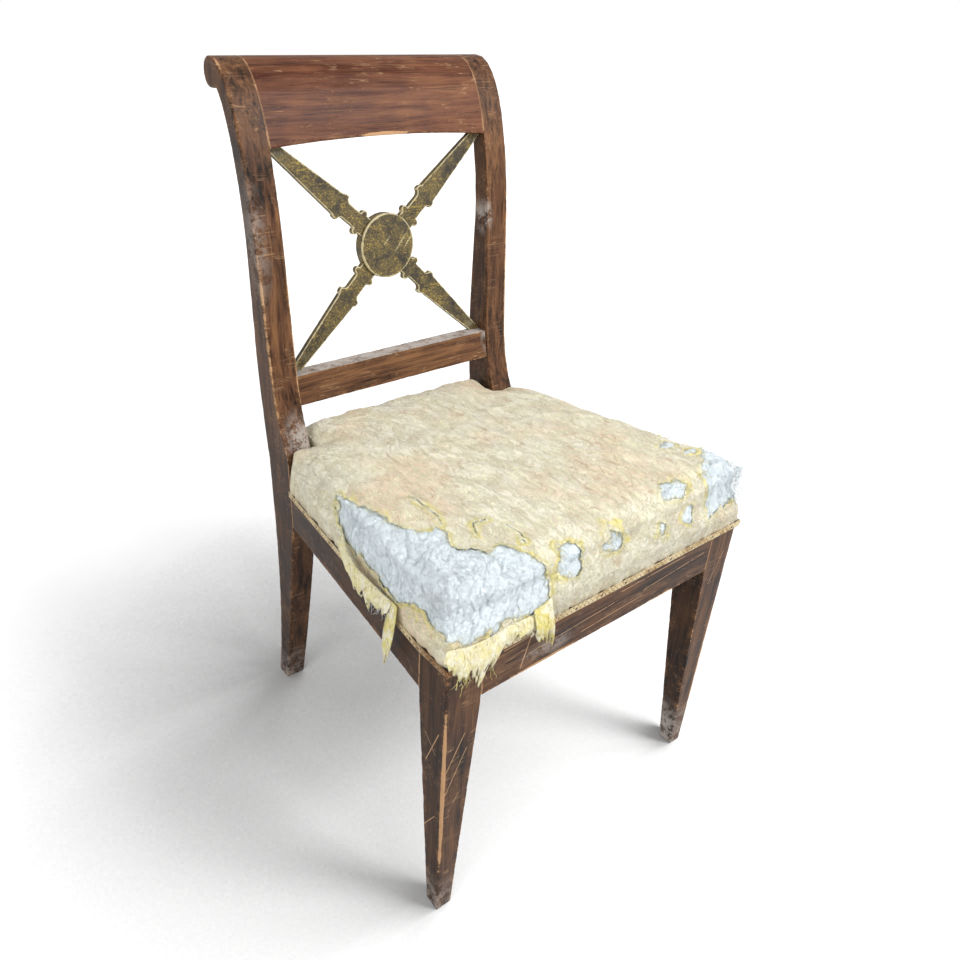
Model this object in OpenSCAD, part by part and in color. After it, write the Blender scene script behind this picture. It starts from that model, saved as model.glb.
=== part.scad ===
// Side chair with a rolled-over back, a splat of four spears round a disc,
// and a stuffed-over seat whose cover is torn open at the front left corner.
// X runs to the right seen from the front, Y to the back, Z up from the floor.

/* [Overall] */
// Height from the floor to the top of the back
chair_h = 887; // [820:1:1070]
// Width over the front legs
front_w = 454; // [420:1:550]
// Width over the rear legs
back_w = 388; // [350:1:430]
// Depth of the seat frame, from the front rail's face to the back of the rear legs
frame_d = 435; // [380:1:530]

/* [Seat frame] */
// Height of the underside of the seat rails
rail_z = 328; // [270:1:360]
// Height of a seat rail
rail_h = 71; // [60:1:86]
// Thickness of a seat rail
rail_t = 22; // [18:0.5:27]
// How far the rear rail stands in from the back of the rear legs
rear_rail_in = 8; // [6:0.5:12]
// Thickness of a tenon
tenon_t = 10; // [8:0.5:12]
// Wood left between two tenons that cross in a leg
tenon_wall = 5; // [4:0.5:8]
// Shoulder above and below a seat rail's tenon
tenon_shoulder = 10; // [6:1:14]
// Clearance round a tenon in its mortise
joint_gap = 0.15; // [0.1:0.05:0.3]

/* [Front legs] */
// Side of a front leg at the rails
leg_w = 45; // [38:0.5:54]
// Side of a front leg's foot
leg_foot = 20; // [16:0.5:30]

/* [Rear legs] */
// Width of a rear leg, seen from the front
stile_w = 36; // [32:0.5:43]
// Width of a rear foot, seen from the front
foot_w = 30; // [24:0.5:32]
// Depth of a rear leg at the seat frame
block_d = 57; // [50:0.5:64]
// Depth of a rear foot
foot_d = 27; // [22:0.5:34]
// How far a rear foot stands behind the seat frame
foot_sweep = 35; // [15:1:50]
// Lean of a rear leg where it meets the floor, in degrees
foot_lean = 13; // [8:0.5:16]
// Lean of a rear leg's front edge under the seat frame, in degrees
knee_lean = 9; // [7:0.5:11]

/* [Stiles] */
// Height of the upright block above the seat rails
block_rise = 36; // [30:1:44]
// Height of the stile's straight stretch above the seat rails
stile_rise = 171; // [150:1:190]
// How far the stile's face is set back from the block's face
stile_set = 30; // [22:1:38]
// Lean at which the stile springs from its block, in degrees
spring_lean = 27; // [15:1:32]
// Lean of the straight stretch, in degrees
back_lean = 4.3; // [3:0.1:6]
// Depth of a stile at the foot of its straight stretch
stile_d = 38; // [34:0.5:44]
// Depth of a stile where it starts to roll back
neck_d = 28.5; // [24:0.5:34]
// Height of the curved top
roll_h = 207; // [180:1:230]
// How far the roll's axis stands behind the seat frame
roll_set = 65; // [55:1:78]
// Radius of the roll
roll_r = 16; // [14:0.5:19]
// Flat stretch under the roll
roll_heel = 15; // [10:0.5:18]
// Lean of the back edge where it meets the roll, in degrees
heel_lean = 42; // [35:1:48]

/* [Back rails] */
// Height of the crest rail at its ends
crest_h = 92; // [78:1:110]
// Rise of the crest rail's lower edge at its middle
crest_arch = 6; // [3:0.5:10]
// Height of the crest rail's tenon
crest_tenon_h = 40; // [30:1:50]
// Wood left in front of and behind the crest rail's tenon
crest_cheek = 7; // [6:0.5:8]
// Height of the lower rail's underside above the seat rails
lower_rise = 92; // [80:1:110]
// Height of the lower rail
lower_h = 38; // [32:1:46]
// Thickness of the lower rail
lower_t = 24; // [20:0.5:26]
// Lean of the lower rail's face, in degrees
lower_lean = 10; // [6:0.5:12]
// How far the lower rail's face stands behind the seat block's face, at its underside
lower_set = 23; // [21:0.5:26]
// Length of the back rails' tenons
back_tenon_l = 22; // [16:1:26]
// Shoulder above and below the lower rail's tenon
lower_shoulder = 6; // [4:0.5:8]

/* [Splat] */
// Radius of the disc
disc_r = 41; // [34:0.5:50]
// How far the disc stands proud of the spears on each face
disc_proud = 4; // [2:0.5:6]
// Chamfer on the disc's edges
disc_chamfer = 1; // [0.5:0.25:2]
// Height of the disc above the middle of the opening
disc_rise = 3; // [0:0.5:8]
// Thickness of a spear
spear_t = 8; // [6:0.5:10]
// How far the spears' faces stand behind the stiles' faces
splat_set = 19; // [17:0.5:21]
// Width of a spear's neck
neck_w = 20; // [16:0.5:24]
// Width of a spear's blade at its shoulder
blade_w = 29; // [24:0.5:34]
// Width of a spear's tip
tip_w = 10; // [7:0.5:13]
// Radius of the beads on a spear's collar and shoulder
bead_r = 4.5; // [3:0.25:6]
// Length of a spear's neck, from its collar to its shoulder
neck_l = 35; // [28:1:42]
// How far a tip's middle stands in from the stile
tip_in = 7; // [5:0.5:9]
// Width of the tenon in the disc
spear_tenon_w = 12; // [10:0.5:14]
// Thickness of the tenon in the disc
spear_tenon_t = 4; // [3:0.5:5]
// Length of the tenon in the disc
spear_tenon_l = 14; // [10:0.5:16]

/* [Corner blocks] */
// Length of a corner block along each rail
block_l = 50; // [40:1:60]
// Height of a corner block
block_h = 40; // [30:1:50]
// Radius of a screw's shank
screw_r = 2; // [1.5:0.1:2.5]
// Radius of a screw's head
screw_head_r = 4; // [3.2:0.1:4.5]
// Depth of a screw in the rail
screw_bite = 12; // [8:1:14]

/* [Upholstery] */
// Width of a strap of webbing
strap_w = 50; // [40:1:56]
// Thickness of a strap
strap_t = 1.5; // [1.2:0.1:2]
// Straps each way
straps = 3; // [2:1:4]
// Width of rail left bare outside the webbing
strap_in = 10.5; // [10:0.5:12]
// Length of rail that a strap's folded end covers
strap_seat = 11; // [9:0.5:11]
// Radius of a tack's shank
tack_r = 0.8; // [0.6:0.1:1]
// Radius of a tack's head
tack_head_r = 2.5; // [2:0.1:3]
// Length of a tack's shank in the wood
tack_bite = 9; // [7:0.5:11]
// Thickness of the base cloth
cloth_t = 1; // [0.8:0.1:1.5]
// Thickness of the wadding
wad_t = 9; // [6:0.5:12]
// Thickness of the cover
cover_t = 1.2; // [0.8:0.1:1.6]
// Clearance between the soft layers
layer_gap = 0.3; // [0.2:0.05:0.4]
// How far the seat swells past the frame
swell = 6; // [4:0.5:9]
// Height of the seat's widest line above the rails
belly_h = 16; // [12:1:20]
// Height of the rounded edge above that line
edge_h = 31; // [24:1:38]
// Inward reach of the rounded edge
edge_reach = 34; // [26:1:42]
// Rise of the crown above the rounded edge
crown_h = 20; // [10:1:30]
// Radius of the seat's corners at its widest line
corner_r = 12; // [8:1:14]
// Height of the lowest bare wadding above the rails
tear_low = 13; // [8:1:20]

/* [Gimp] */
// Height of the gimp braid
gimp_h = 6; // [5:0.5:8]
// Thickness of the gimp braid
gimp_t = 3; // [2:0.25:4]
// Height of bare rail left under the gimp
show_h = 52; // [40:1:58]
// Radius of a gimp pin
pin_r = 0.6; // [0.5:0.05:0.8]
// Radius of a gimp pin's head
pin_head_r = 1.6; // [1.3:0.1:2]
// Length of a gimp pin in the wood
pin_bite = 4; // [3:0.5:5]
// Largest spacing of the gimp pins
pin_pitch = 40; // [34:1:60]

/* [Hidden] */
$fn = 48;

// Colours
wood = [0.24, 0.12, 0.07];
old_wood = [0.45, 0.31, 0.2];
bronze = [0.36, 0.3, 0.16];
steel = [0.4, 0.38, 0.36];
jute = [0.6, 0.48, 0.3];
fibre = [0.3, 0.22, 0.15];
white = [0.86, 0.87, 0.88];
cream = [0.84, 0.77, 0.6];
tan_braid = [0.65, 0.52, 0.34];

// Seat frame
rail_top = rail_z + rail_h;
half_front = front_w / 2;
half_back = back_w / 2;
stile_in = half_back - stile_w;
block_y = frame_d - block_d;
splay = atan((half_front - half_back) / (block_y - leg_w));
side_t = rail_t / cos(splay);
tenon_l = leg_w - (rail_t + tenon_t) / 2 - tenon_wall;
tenon_off = (rail_t - tenon_t) / 2;
rear_rail_y = frame_d - rear_rail_in - rail_t;
block_gap = 0.1;

// Back
roll_y = frame_d + roll_set;
stile_z = rail_top + stile_rise;
neck_z = chair_h - roll_h;
stile_y = block_y + stile_set;
neck_y = stile_y + (neck_z - stile_z) * tan(back_lean);
curve_steps = 14;

// Opening of the back, between the stiles and between the two rails
lower_z = rail_top + lower_rise;
open_low = lower_z + lower_h;
open_high = chair_h - crest_h;
arch_r = (stile_in * stile_in + crest_arch * crest_arch) / (2 * crest_arch);

// Splat
disc_z = (open_low + open_high + crest_arch) / 2 + disc_rise;
disc_y = stile_y + (disc_z - stile_z) * tan(back_lean) + splat_set + spear_t;
collar_u = disc_r + 10;
shoulder_u = disc_r + 10 + neck_l;
cove_r = 6.5;
spear_reach = 260;
corner_u = norm([stile_in, (open_high - disc_z) / cos(back_lean)]);
tip_u = max(spear_reach - disc_r, corner_u);
splat_gap = 0.2;

// Seat pad
y_front = -swell;
y_back = roll_y + roll_r;
y_mid = (y_front + y_back) / 2;
belly_z = rail_top + belly_h;
pad_back = rear_rail_y + rail_t + swell;
crown_reach = 0.75 * side_x(pad_back);
corner_steps = 5;
fold_r = 1;
stile_gap = 0.4;
gimp_z = rail_z + show_h;
skirt_rise = 2;
cloth_in = 4;
tack_head_t = 0.6;
screw_head_t = 3;
screw_seat = 12;
pin_head_t = 0.5;
pin_end = 14;
hole_gap = 0.1;
strap_top = rail_top + 2 * strap_t;
cloth_z = strap_top + tack_head_t + layer_gap;

// Shared shapes

// Puts the seat frame's own coordinates, with Y = 0 at the front rail's face, in the chair's frame
module placed() {
    translate([0, -y_mid, 0])
        children();
}

// The same piece on the left (side = -1) or on the right (side = 1)
module on_side(side) {
    mirror([side < 0 ? 1 : 0, 0, 0])
        children();
}

// Extrudes a shape drawn in Y and Z along X, from x0 for a length of l
module along_x(x0, l) {
    translate([x0, 0, 0])
        rotate([90, 0, 90])
            linear_extrude(l)
                children();
}

// Extrudes a shape drawn in X and Z along Y, from y0 for a length of l
module along_y(y0, l) {
    translate([0, y0 + l, 0])
        rotate([90, 0, 0])
            linear_extrude(l)
                children();
}

// A cubic curve from p to q, which leaves p and reaches q at the given leans from the vertical
function curve(p, lean_p, pull_p, q, lean_q, pull_q) =
    let (a = p + pull_p * [sin(lean_p), cos(lean_p)],
         b = q - pull_q * [sin(lean_q), cos(lean_q)])
    [for (i = [0 : curve_steps])
        let (t = i / curve_steps, s = 1 - t)
        s * s * s * p + 3 * s * s * t * a + 3 * s * t * t * b + t * t * t * q];

function reversed(list) = [for (i = [len(list) - 1 : -1 : 0]) list[i]];

// Front legs

// A front leg with its two outer faces upright and its two inner faces tapered below the rails
module leg_blank() {
    intersection() {
        along_y(-1, leg_w + 2)
            polygon([[half_front, 0], [half_front, rail_top],
                [half_front - leg_w, rail_top], [half_front - leg_w, rail_z],
                [half_front - leg_foot, 0]]);
        along_x(half_front - leg_w - 1, leg_w + 2)
            polygon([[0, 0], [0, rail_top], [leg_w, rail_top], [leg_w, rail_z], [leg_foot, 0]]);
    }
}

module front_leg(side) {
    color(wood)
        placed()
            difference() {
                on_side(side)
                    difference() {
                        leg_blank();
                        front_tenon(joint_gap);
                        side_tenon(joint_gap);
                    }
                gimp_pin_set(hole_gap);
            }
}

// Rear legs

front_edge = concat(
    curve([frame_d + foot_sweep - foot_d, 0], -foot_lean, block_y / 3.4,
        [block_y, rail_z], -knee_lean, rail_z / 3),
    curve([block_y, rail_top + block_rise], spring_lean, block_rise * 1.5,
        [stile_y, stile_z], back_lean, block_rise),
    curve([neck_y, neck_z], back_lean, roll_h * 0.19,
        [roll_y, chair_h], 90, roll_set));
roll_edge = [for (a = [80 : -10 : -90]) [roll_y, chair_h - roll_r] + roll_r * [cos(a), sin(a)]];
back_edge = concat(
    curve([roll_y - roll_heel, chair_h - 2 * roll_r], 180 + heel_lean, roll_h / 6,
        [neck_y + neck_d, neck_z], 180, roll_h * 0.32),
    curve([stile_y + stile_d, stile_z], 180, stile_rise * 0.45,
        [frame_d, rail_top], 180, block_rise / 2),
    curve([frame_d, rail_z], 180, rail_z * 0.36,
        [frame_d + foot_sweep, 0], 180 - foot_lean, rail_z * 0.31));

// Outline of a rear leg and its stile, in Y and Z
module stile_outline() {
    polygon(concat(front_edge, roll_edge, back_edge));
}

module rear_leg(side) {
    color(wood)
        placed()
            difference() {
                on_side(side)
                    difference() {
                        intersection() {
                            along_x(stile_in, stile_w)
                                stile_outline();
                            along_y(0, y_back + 1)
                                polygon([[half_back, 0], [half_back, chair_h + 1],
                                    [stile_in, chair_h + 1], [stile_in, rail_z],
                                    [half_back - foot_w, 0]]);
                        }
                        side_tenon(joint_gap);
                        rear_tenon(joint_gap);
                        crest_tenon(joint_gap);
                        lower_tenon(joint_gap);
                    }
                gimp_pin_set(hole_gap);
            }
}

// Seat rails

// Height span of a seat rail's tenon, widened by a gap
module tenon_span(gap) {
    translate([0, 0, rail_z + tenon_shoulder - gap])
        linear_extrude(rail_h - 2 * tenon_shoulder + 2 * gap)
            children();
}

// Outer face of the right side rail at depth y
function side_x(y) = half_front - (y - leg_w) * tan(splay);

// A strip that follows the right side rail between two offsets from its outer face
module side_strip(y0, y1, off0, off1) {
    polygon([[side_x(y0) - off0, y0], [side_x(y1) - off0, y1],
        [side_x(y1) - off1, y1], [side_x(y0) - off1, y0]]);
}

module side_tenon(gap) {
    off = tenon_off / cos(splay);
    tenon_span(gap)
        side_strip(leg_w - tenon_l - gap, block_y + tenon_l + gap, off - gap, side_t - off + gap);
}

module front_tenon(gap) {
    reach = half_front - leg_w + tenon_l + gap;
    tenon_span(gap)
        translate([-reach, tenon_off - gap])
            square([2 * reach, tenon_t + 2 * gap]);
}

module rear_tenon(gap) {
    reach = stile_in + back_tenon_l + gap;
    tenon_span(gap)
        translate([-reach, rear_rail_y + tenon_off - gap])
            square([2 * reach, tenon_t + 2 * gap]);
}

module rail_body() {
    translate([0, 0, rail_z])
        linear_extrude(rail_h)
            children();
}

module front_seat_rail() {
    reach = half_front - leg_w;
    color(wood)
        placed()
            difference() {
                union() {
                    rail_body()
                        translate([-reach, 0])
                            square([2 * reach, rail_t]);
                    front_tenon(0);
                }
                rail_fixings(hole_gap);
            }
}

module rear_seat_rail() {
    color(wood)
        placed()
            difference() {
                union() {
                    rail_body()
                        translate([-stile_in, rear_rail_y])
                            square([2 * stile_in, rail_t]);
                    rear_tenon(0);
                }
                rail_fixings(hole_gap);
            }
}

module side_seat_rail(side) {
    color(wood)
        placed()
            difference() {
                on_side(side) {
                    rail_body()
                        side_strip(leg_w, block_y, 0, side_t);
                    side_tenon(0);
                }
                rail_fixings(hole_gap);
            }
}

// All that is driven into the seat frame
module rail_fixings(gap) {
    webbing_tack_set(gap);
    gimp_pin_set(gap);
    corner_screw_set(gap);
}

// Back rails

// The opening's outline in X and Z, drawn in by a gap
module opening_outline(gap) {
    difference() {
        translate([-stile_in + gap, open_low + gap])
            square([2 * (stile_in - gap), open_high + crest_arch - open_low - gap]);
        difference() {
            translate([-stile_in, open_high - gap])
                square([2 * stile_in, 2 * crest_arch]);
            arch_disc(gap);
        }
    }
}

// The large disc whose top is the crest rail's lower edge
module arch_disc(gap) {
    translate([0, open_high + crest_arch - arch_r])
        circle(r = arch_r - gap, $fn = 720);
}

module crest_rail() {
    color(wood)
        placed() {
            difference() {
                intersection() {
                    along_x(-stile_in, 2 * stile_in)
                        stile_outline();
                    along_x(-stile_in, 2 * stile_in)
                        translate([block_y, open_high])
                            square([y_back - block_y, crest_h + 1]);
                }
                along_y(block_y, y_back - block_y)
                    arch_disc(0);
            }
            difference() {
                crest_tenon(0);
                along_x(-stile_in + 1, 2 * stile_in - 2)
                    translate([block_y, open_high])
                        square([y_back - block_y, crest_h]);
            }
        }
}

// The crest rail's tenons, in one bar that follows the roll's curve
module crest_tenon(gap) {
    reach = stile_in + back_tenon_l + gap;
    cheek = crest_cheek - gap;
    along_x(-reach, 2 * reach)
        intersection() {
            translate([cheek, 0])
                stile_outline();
            translate([-cheek, 0])
                stile_outline();
            translate([block_y, open_high + (crest_h - crest_tenon_h) / 3 - gap])
                square([y_back - block_y, crest_tenon_h + 2 * gap]);
        }
}

// Section of the lower rail between two heights and two offsets from its face
module lower_section(z0, z1, off0, off1) {
    y0 = block_y + lower_set + (z0 - lower_z) * tan(lower_lean);
    y1 = block_y + lower_set + (z1 - lower_z) * tan(lower_lean);
    polygon([[y0 + off0, z0], [y1 + off0, z1], [y1 + off1, z1], [y0 + off1, z0]]);
}

module lower_tenon(gap) {
    reach = stile_in + back_tenon_l + gap;
    off = (lower_t - tenon_t) / 2;
    along_x(-reach, 2 * reach)
        lower_section(lower_z + lower_shoulder - gap, open_low - lower_shoulder + gap,
            off - gap, lower_t - off + gap);
}

module lower_back_rail() {
    color(wood)
        placed() {
            along_x(-stile_in, 2 * stile_in)
                lower_section(lower_z, open_low, 0, lower_t);
            lower_tenon(0);
        }
}

// Splat

// Puts a shape drawn in the splat's own plane, seen from the front, in its leaning place.
// Its Z = 0 is the back face of the spears.
module in_splat() {
    translate([0, disc_y, disc_z])
        rotate([90 - back_lean, 0, 0])
            children();
}

// Angle of a spear above the horizontal, in the splat's plane
function spear_angle(z) = atan((z - disc_z) / cos(back_lean) / (stile_in - tip_in));

// A spear's outline along +X: collar with two beads, neck, shoulder with coves and beads, blade
module spear_outline() {
    shoulder = blade_w / 2 - bead_r / 2;
    difference() {
        union() {
            translate([0, -neck_w / 2])
                square([shoulder_u, neck_w]);
            translate([0, -neck_w / 2 - bead_r / 2])
                square([collar_u + bead_r, neck_w + bead_r]);
            translate([shoulder_u - cove_r - bead_r, -shoulder - bead_r])
                square([cove_r + bead_r, 2 * (shoulder + bead_r)]);
            polygon([[shoulder_u, -blade_w / 2], [tip_u, -tip_w / 2],
                [tip_u, tip_w / 2], [shoulder_u, blade_w / 2]]);
            for (k = [-1, 1]) {
                translate([collar_u, k * (neck_w / 2 + bead_r / 2)])
                    circle(r = bead_r);
                translate([shoulder_u, k * shoulder])
                    circle(r = bead_r);
            }
        }
        for (k = [-1, 1])
            translate([shoulder_u - cove_r - bead_r, k * (neck_w / 2 + cove_r)])
                circle(r = cove_r);
    }
}

// The tenon of one spear in the disc, or its mortise when widened by a gap
module spear_tenon(angle, gap) {
    in_splat()
        rotate([0, 0, angle])
            translate([disc_r - spear_tenon_l - gap, -spear_tenon_w / 2 - gap,
                    (spear_t - spear_tenon_t) / 2 - gap])
                cube([spear_tenon_l + 1 + gap, spear_tenon_w + 2 * gap, spear_tenon_t + 2 * gap]);
}

module splat_spear(side, z) {
    angle = spear_angle(z);
    color(bronze)
        placed()
            on_side(side) {
                difference() {
                    intersection() {
                        in_splat()
                            rotate([0, 0, angle])
                                linear_extrude(spear_t)
                                    spear_outline();
                        along_y(block_y, y_back - block_y)
                            opening_outline(splat_gap);
                    }
                    in_splat()
                        translate([0, 0, -1])
                            cylinder(r = disc_r + joint_gap, h = spear_t + 2);
                }
                spear_tenon(angle, 0);
            }
}

module splat_disc() {
    thick = spear_t + 2 * disc_proud;
    color(bronze)
        placed()
            difference() {
                in_splat()
                    translate([0, 0, -disc_proud])
                        rotate_extrude()
                            polygon([[0, 0], [disc_r - disc_chamfer, 0], [disc_r, disc_chamfer],
                                [disc_r, thick - disc_chamfer], [disc_r - disc_chamfer, thick],
                                [0, thick]]);
                for (side = [-1, 1], z = [open_low, open_high])
                    on_side(side)
                        spear_tenon(spear_angle(z), joint_gap);
            }
}

// Corner blocks

block_z = rail_z + (rail_h - block_h) / 3;

// Plan of the right front block, fitted round the leg's inner corner
module front_block_plan() {
    leg_x = half_front - leg_w;
    polygon([[leg_x - block_gap, rail_t + block_gap], [leg_x - block_l, rail_t + block_gap],
        [side_x(leg_w + block_l) - side_t - block_gap, leg_w + block_l],
        [side_x(leg_w) - side_t - block_gap, leg_w + block_gap],
        [leg_x - block_gap, leg_w + block_gap]]);
}

// Plan of the right rear block, fitted round the rear leg's inner corner
module rear_block_plan() {
    polygon([[side_x(block_y - block_l) - side_t - block_gap, block_y - block_l],
        [stile_in - block_l, rear_rail_y - block_gap],
        [stile_in - block_gap, rear_rail_y - block_gap], [stile_in - block_gap, block_y - block_gap],
        [side_x(block_y) - side_t - block_gap, block_y - block_gap]]);
}

module corner_block(side, rear) {
    color(old_wood)
        placed()
            difference() {
                on_side(side)
                    translate([0, 0, block_z])
                        linear_extrude(block_h)
                            if (rear) rear_block_plan();
                            else front_block_plan();
                corner_screw_set(hole_gap);
                corner_screw_set(hole_gap, block_l);
            }
}

// A screw along +Z with its head's seat at the origin and its shank below.
// A head lengthened by clear is the pocket that the head sinks in.
module screw(shank, gap, clear) {
    translate([0, 0, -shank - gap])
        cylinder(r = screw_r + gap, h = shank + gap);
    translate([0, 0, -gap])
        cylinder(r = screw_head_r + gap, h = screw_head_t + 2 * gap + clear);
}

// Two screws in each block, one into each rail
module corner_screw_set(gap, clear = 0) {
    shank = screw_seat + screw_bite;
    z = block_z + block_h / 2;
    for (side = [-1, 1])
        on_side(side) {
            translate([half_front - leg_w - block_l / 3, rail_t + screw_seat, z])
                rotate([-90, 0, 0])
                    screw(shank, gap, clear);
            translate([stile_in - block_l / 3, rear_rail_y - screw_seat, z])
                rotate([90, 0, 0])
                    screw(shank, gap, clear);
            for (y = [leg_w + block_l / 3, block_y - block_l / 3])
                translate([side_x(y) - side_t, y, z])
                    rotate([0, 0, splay])
                        translate([-screw_seat, 0, 0])
                            rotate([0, -90, 0])
                                screw(shank, gap, clear);
        }
}

module corner_screws() {
    color(steel)
        placed()
            corner_screw_set(0);
}

// Webbing

// Middles of the straps that run from front to back, and of those that run across
strap_xs = [for (i = [0 : straps - 1]) (i - (straps - 1) / 2) * 2 * stile_in / (straps + 0.25)];
strap_ys = [for (i = [0 : straps - 1])
    (rail_t + rear_rail_y) / 2 + (i - (straps - 1) / 2) * (rear_rail_y - rail_t) / (straps + 0.25)];
strap_y0 = strap_in;
strap_y1 = rear_rail_y + rail_t - strap_in;

// End of a crosswise strap, inside the side rail's outer face at the strap's rear edge
function strap_x1(y) = side_x(y + strap_w / 2) - strap_in;

// A strap's ends are turned over: above it on the front and rear rails, below it on the side rails
module webbing_lengthwise() {
    color(jute)
        placed()
            difference() {
                for (x = strap_xs)
                    translate([x - strap_w / 2, 0, rail_top]) {
                        translate([0, strap_y0, 0])
                            cube([strap_w, strap_y1 - strap_y0, strap_t]);
                        for (y = [strap_y0, strap_y1 - strap_seat])
                            translate([0, y, 0])
                                cube([strap_w, strap_seat, 2 * strap_t]);
                    }
                webbing_tack_set(hole_gap);
            }
}

module webbing_crosswise() {
    color(jute)
        placed()
            difference() {
                for (y = strap_ys)
                    translate([0, y - strap_w / 2, rail_top]) {
                        translate([-strap_x1(y), 0, strap_t])
                            cube([2 * strap_x1(y), strap_w, strap_t]);
                        for (x = [-strap_x1(y), strap_x1(y) - strap_seat])
                            translate([x, 0, 0])
                                cube([strap_seat, strap_w, 2 * strap_t]);
                    }
                webbing_tack_set(hole_gap);
            }
}

// A tack driven down through a strap's folded end
module tack(gap) {
    translate([0, 0, rail_top - tack_bite - gap])
        cylinder(r = tack_r + gap, h = tack_bite + 2 * strap_t + 2 * gap, $fn = 16);
    translate([0, 0, strap_top])
        cylinder(r = tack_head_r, h = tack_head_t, $fn = 16);
}

module webbing_tack_set(gap) {
    for (k = [-1 : 1]) {
        for (x = strap_xs, y = [strap_y0 + strap_seat / 2, strap_y1 - strap_seat / 2])
            translate([x + k * strap_w / 3, y, 0])
                tack(gap);
        for (y = strap_ys, side = [-1, 1])
            translate([side * (strap_x1(y) - strap_seat / 2), y + k * strap_w / 3, 0])
                tack(gap);
    }
}

module webbing_tacks() {
    color(steel)
        placed()
            webbing_tack_set(0);
}

// Base cloth over the webbing, cut round the rear legs
module base_cloth() {
    cut_y = block_y - cloth_in;
    cut_x = stile_in - cloth_in;
    right = [[half_front - strap_in, strap_y0], [half_front - strap_in, leg_w],
        [side_x(cut_y) - strap_in, cut_y], [cut_x, cut_y], [cut_x, strap_y1]];
    left = [for (p = reversed(right)) [-p[0], p[1]]];
    color(jute)
        placed()
            translate([0, 0, cloth_z])
                linear_extrude(cloth_t)
                    polygon(concat(right, left));
}

// Seat pad

function unit(v) = v / norm(v);

// Right side of the pad at depth y, drawn in by d
function pad_x(y, d) = min(half_front, side_x(y)) + swell - d;

// Corners of the pad's plan, drawn in by d: two in front, two at the bend of its sides, two behind
function pad_plan(d, bend_y) =
    let (right = [for (y = [y_front + d, bend_y, pad_back - d]) [pad_x(y, d), y]])
    concat(right, [for (p = reversed(right)) [-p[0], p[1]]]);

// Points of one corner of a ring: the two slight bends (1 and 4) stay sharp, the others are rounded
function pad_corner(c, i, r) = i % 3 == 1 ? [c[i]] :
    let (a = c[i] + r * unit(c[(i + 5) % 6] - c[i]), b = c[i] + r * unit(c[(i + 1) % 6] - c[i]))
    [for (s = [0 : corner_steps])
        let (t = s / corner_steps, u = 1 - t)
        u * u * a + 2 * t * u * c[i] + t * t * b];

// A level ring round the pad: the plan drawn in by d, with corners of radius r
function pad_ring(d, bend_y, z, r) =
    let (c = pad_plan(d, bend_y))
    [for (i = [0 : 5], q = pad_corner(c, i, r)) [q[0], q[1], z]];

// Inset and height of each ring above the frame: rounded edge, then crown
pad_edge = concat(
    [for (a = [0 : 15 : 90]) [edge_reach * (1 - cos(a)), belly_z + edge_h * sin(a)]],
    [for (k = [1 : 4])
        let (s = k / 4)
        [edge_reach + s * (crown_reach - edge_reach),
            belly_z + edge_h + crown_h * (1 - (1 - s) * (1 - s))]]);

// The pad's rings drawn in by t, from the bottom heights in feet up to the crown
function pad_rings(t, feet) = concat(
    [for (z = feet) pad_ring(swell - cover_t - layer_gap + t, leg_w, z, fold_r)],
    [for (e = pad_edge) pad_ring(e[0] + t, leg_w + e[0], e[1] - t, corner_r + (e[0] + t) / 5)]);

function flat(rings) = [for (r = rings, p = r) p];

// Faces of a tube of rings a to b, each of n points, seen from outside when the rings climb
function wall(a, b, n) = [for (k = [a : b - 1], i = [0 : n - 1])
    let (j = (i + 1) % n)
    each [[k * n + i, (k + 1) * n + i, (k + 1) * n + j], [k * n + i, (k + 1) * n + j, k * n + j]]];

ring_n = 4 * (corner_steps + 1) + 2;

// A solid pad with a flat underside
module pad(t, feet) {
    rings = pad_rings(t, feet);
    top = len(rings) - 1;
    polyhedron(flat(rings), concat(wall(0, top, ring_n),
        [[for (i = [0 : ring_n - 1]) i]],
        [[for (i = [ring_n - 1 : -1 : 0]) top * ring_n + i]]));
}

// A pad's skin between two insets, open below
module pad_skin(t, skin_t, feet) {
    outer = pad_rings(t, feet);
    inner = pad_rings(t + skin_t, feet);
    top = len(outer) - 1;
    last = 2 * top + 1;
    rings = concat(outer, reversed(inner));
    closing = [for (i = [0 : ring_n - 1])
        let (j = (i + 1) % ring_n)
        each [[last * ring_n + i, i, j], [last * ring_n + i, j, last * ring_n + j]]];
    polyhedron(flat(rings), concat(wall(0, top, ring_n), wall(top + 1, last, ring_n), closing,
        [[for (i = [ring_n - 1 : -1 : 0]) top * ring_n + i]],
        [[for (i = [0 : ring_n - 1]) (top + 1) * ring_n + i]]));
}

// Room for the stiles, which the pad's rear corners are cut round
module stile_room() {
    for (side = [-1, 1])
        on_side(side)
            translate([stile_in - stile_gap, block_y - stile_gap, rail_z])
                cube([stile_w * 2, block_d * 2, rail_h * 3]);
}

module seat_stuffing() {
    inset = cover_t + wad_t + 2 * layer_gap;
    color(fibre)
        placed()
            difference() {
                pad(inset, [cloth_z + cloth_t + layer_gap]);
                stile_room();
            }
}

module seat_wadding() {
    color(white)
        placed()
            difference() {
                pad_skin(cover_t + layer_gap, wad_t, [rail_top + layer_gap]);
                stile_room();
            }
}

// Plan of the tear, from the seat frame's front left corner
tear_plan = [[-33, 225], [27, 222], [57, 186], [67, 140], [87, 128], [85, 97], [90, 78],
    [123, 72], [130, 48], [125, 6], [102, -12], [102, -40], [-33, -40]];

module seat_cover() {
    color(cream)
        placed()
            difference() {
                pad_skin(0, cover_t, [gimp_z + gimp_h + layer_gap, rail_top - skirt_rise]);
                stile_room();
                translate([-half_front, 0, rail_top + tear_low])
                    linear_extrude(2 * (edge_h + crown_h))
                        polygon(tear_plan);
            }
}

// Gimp braid

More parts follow.
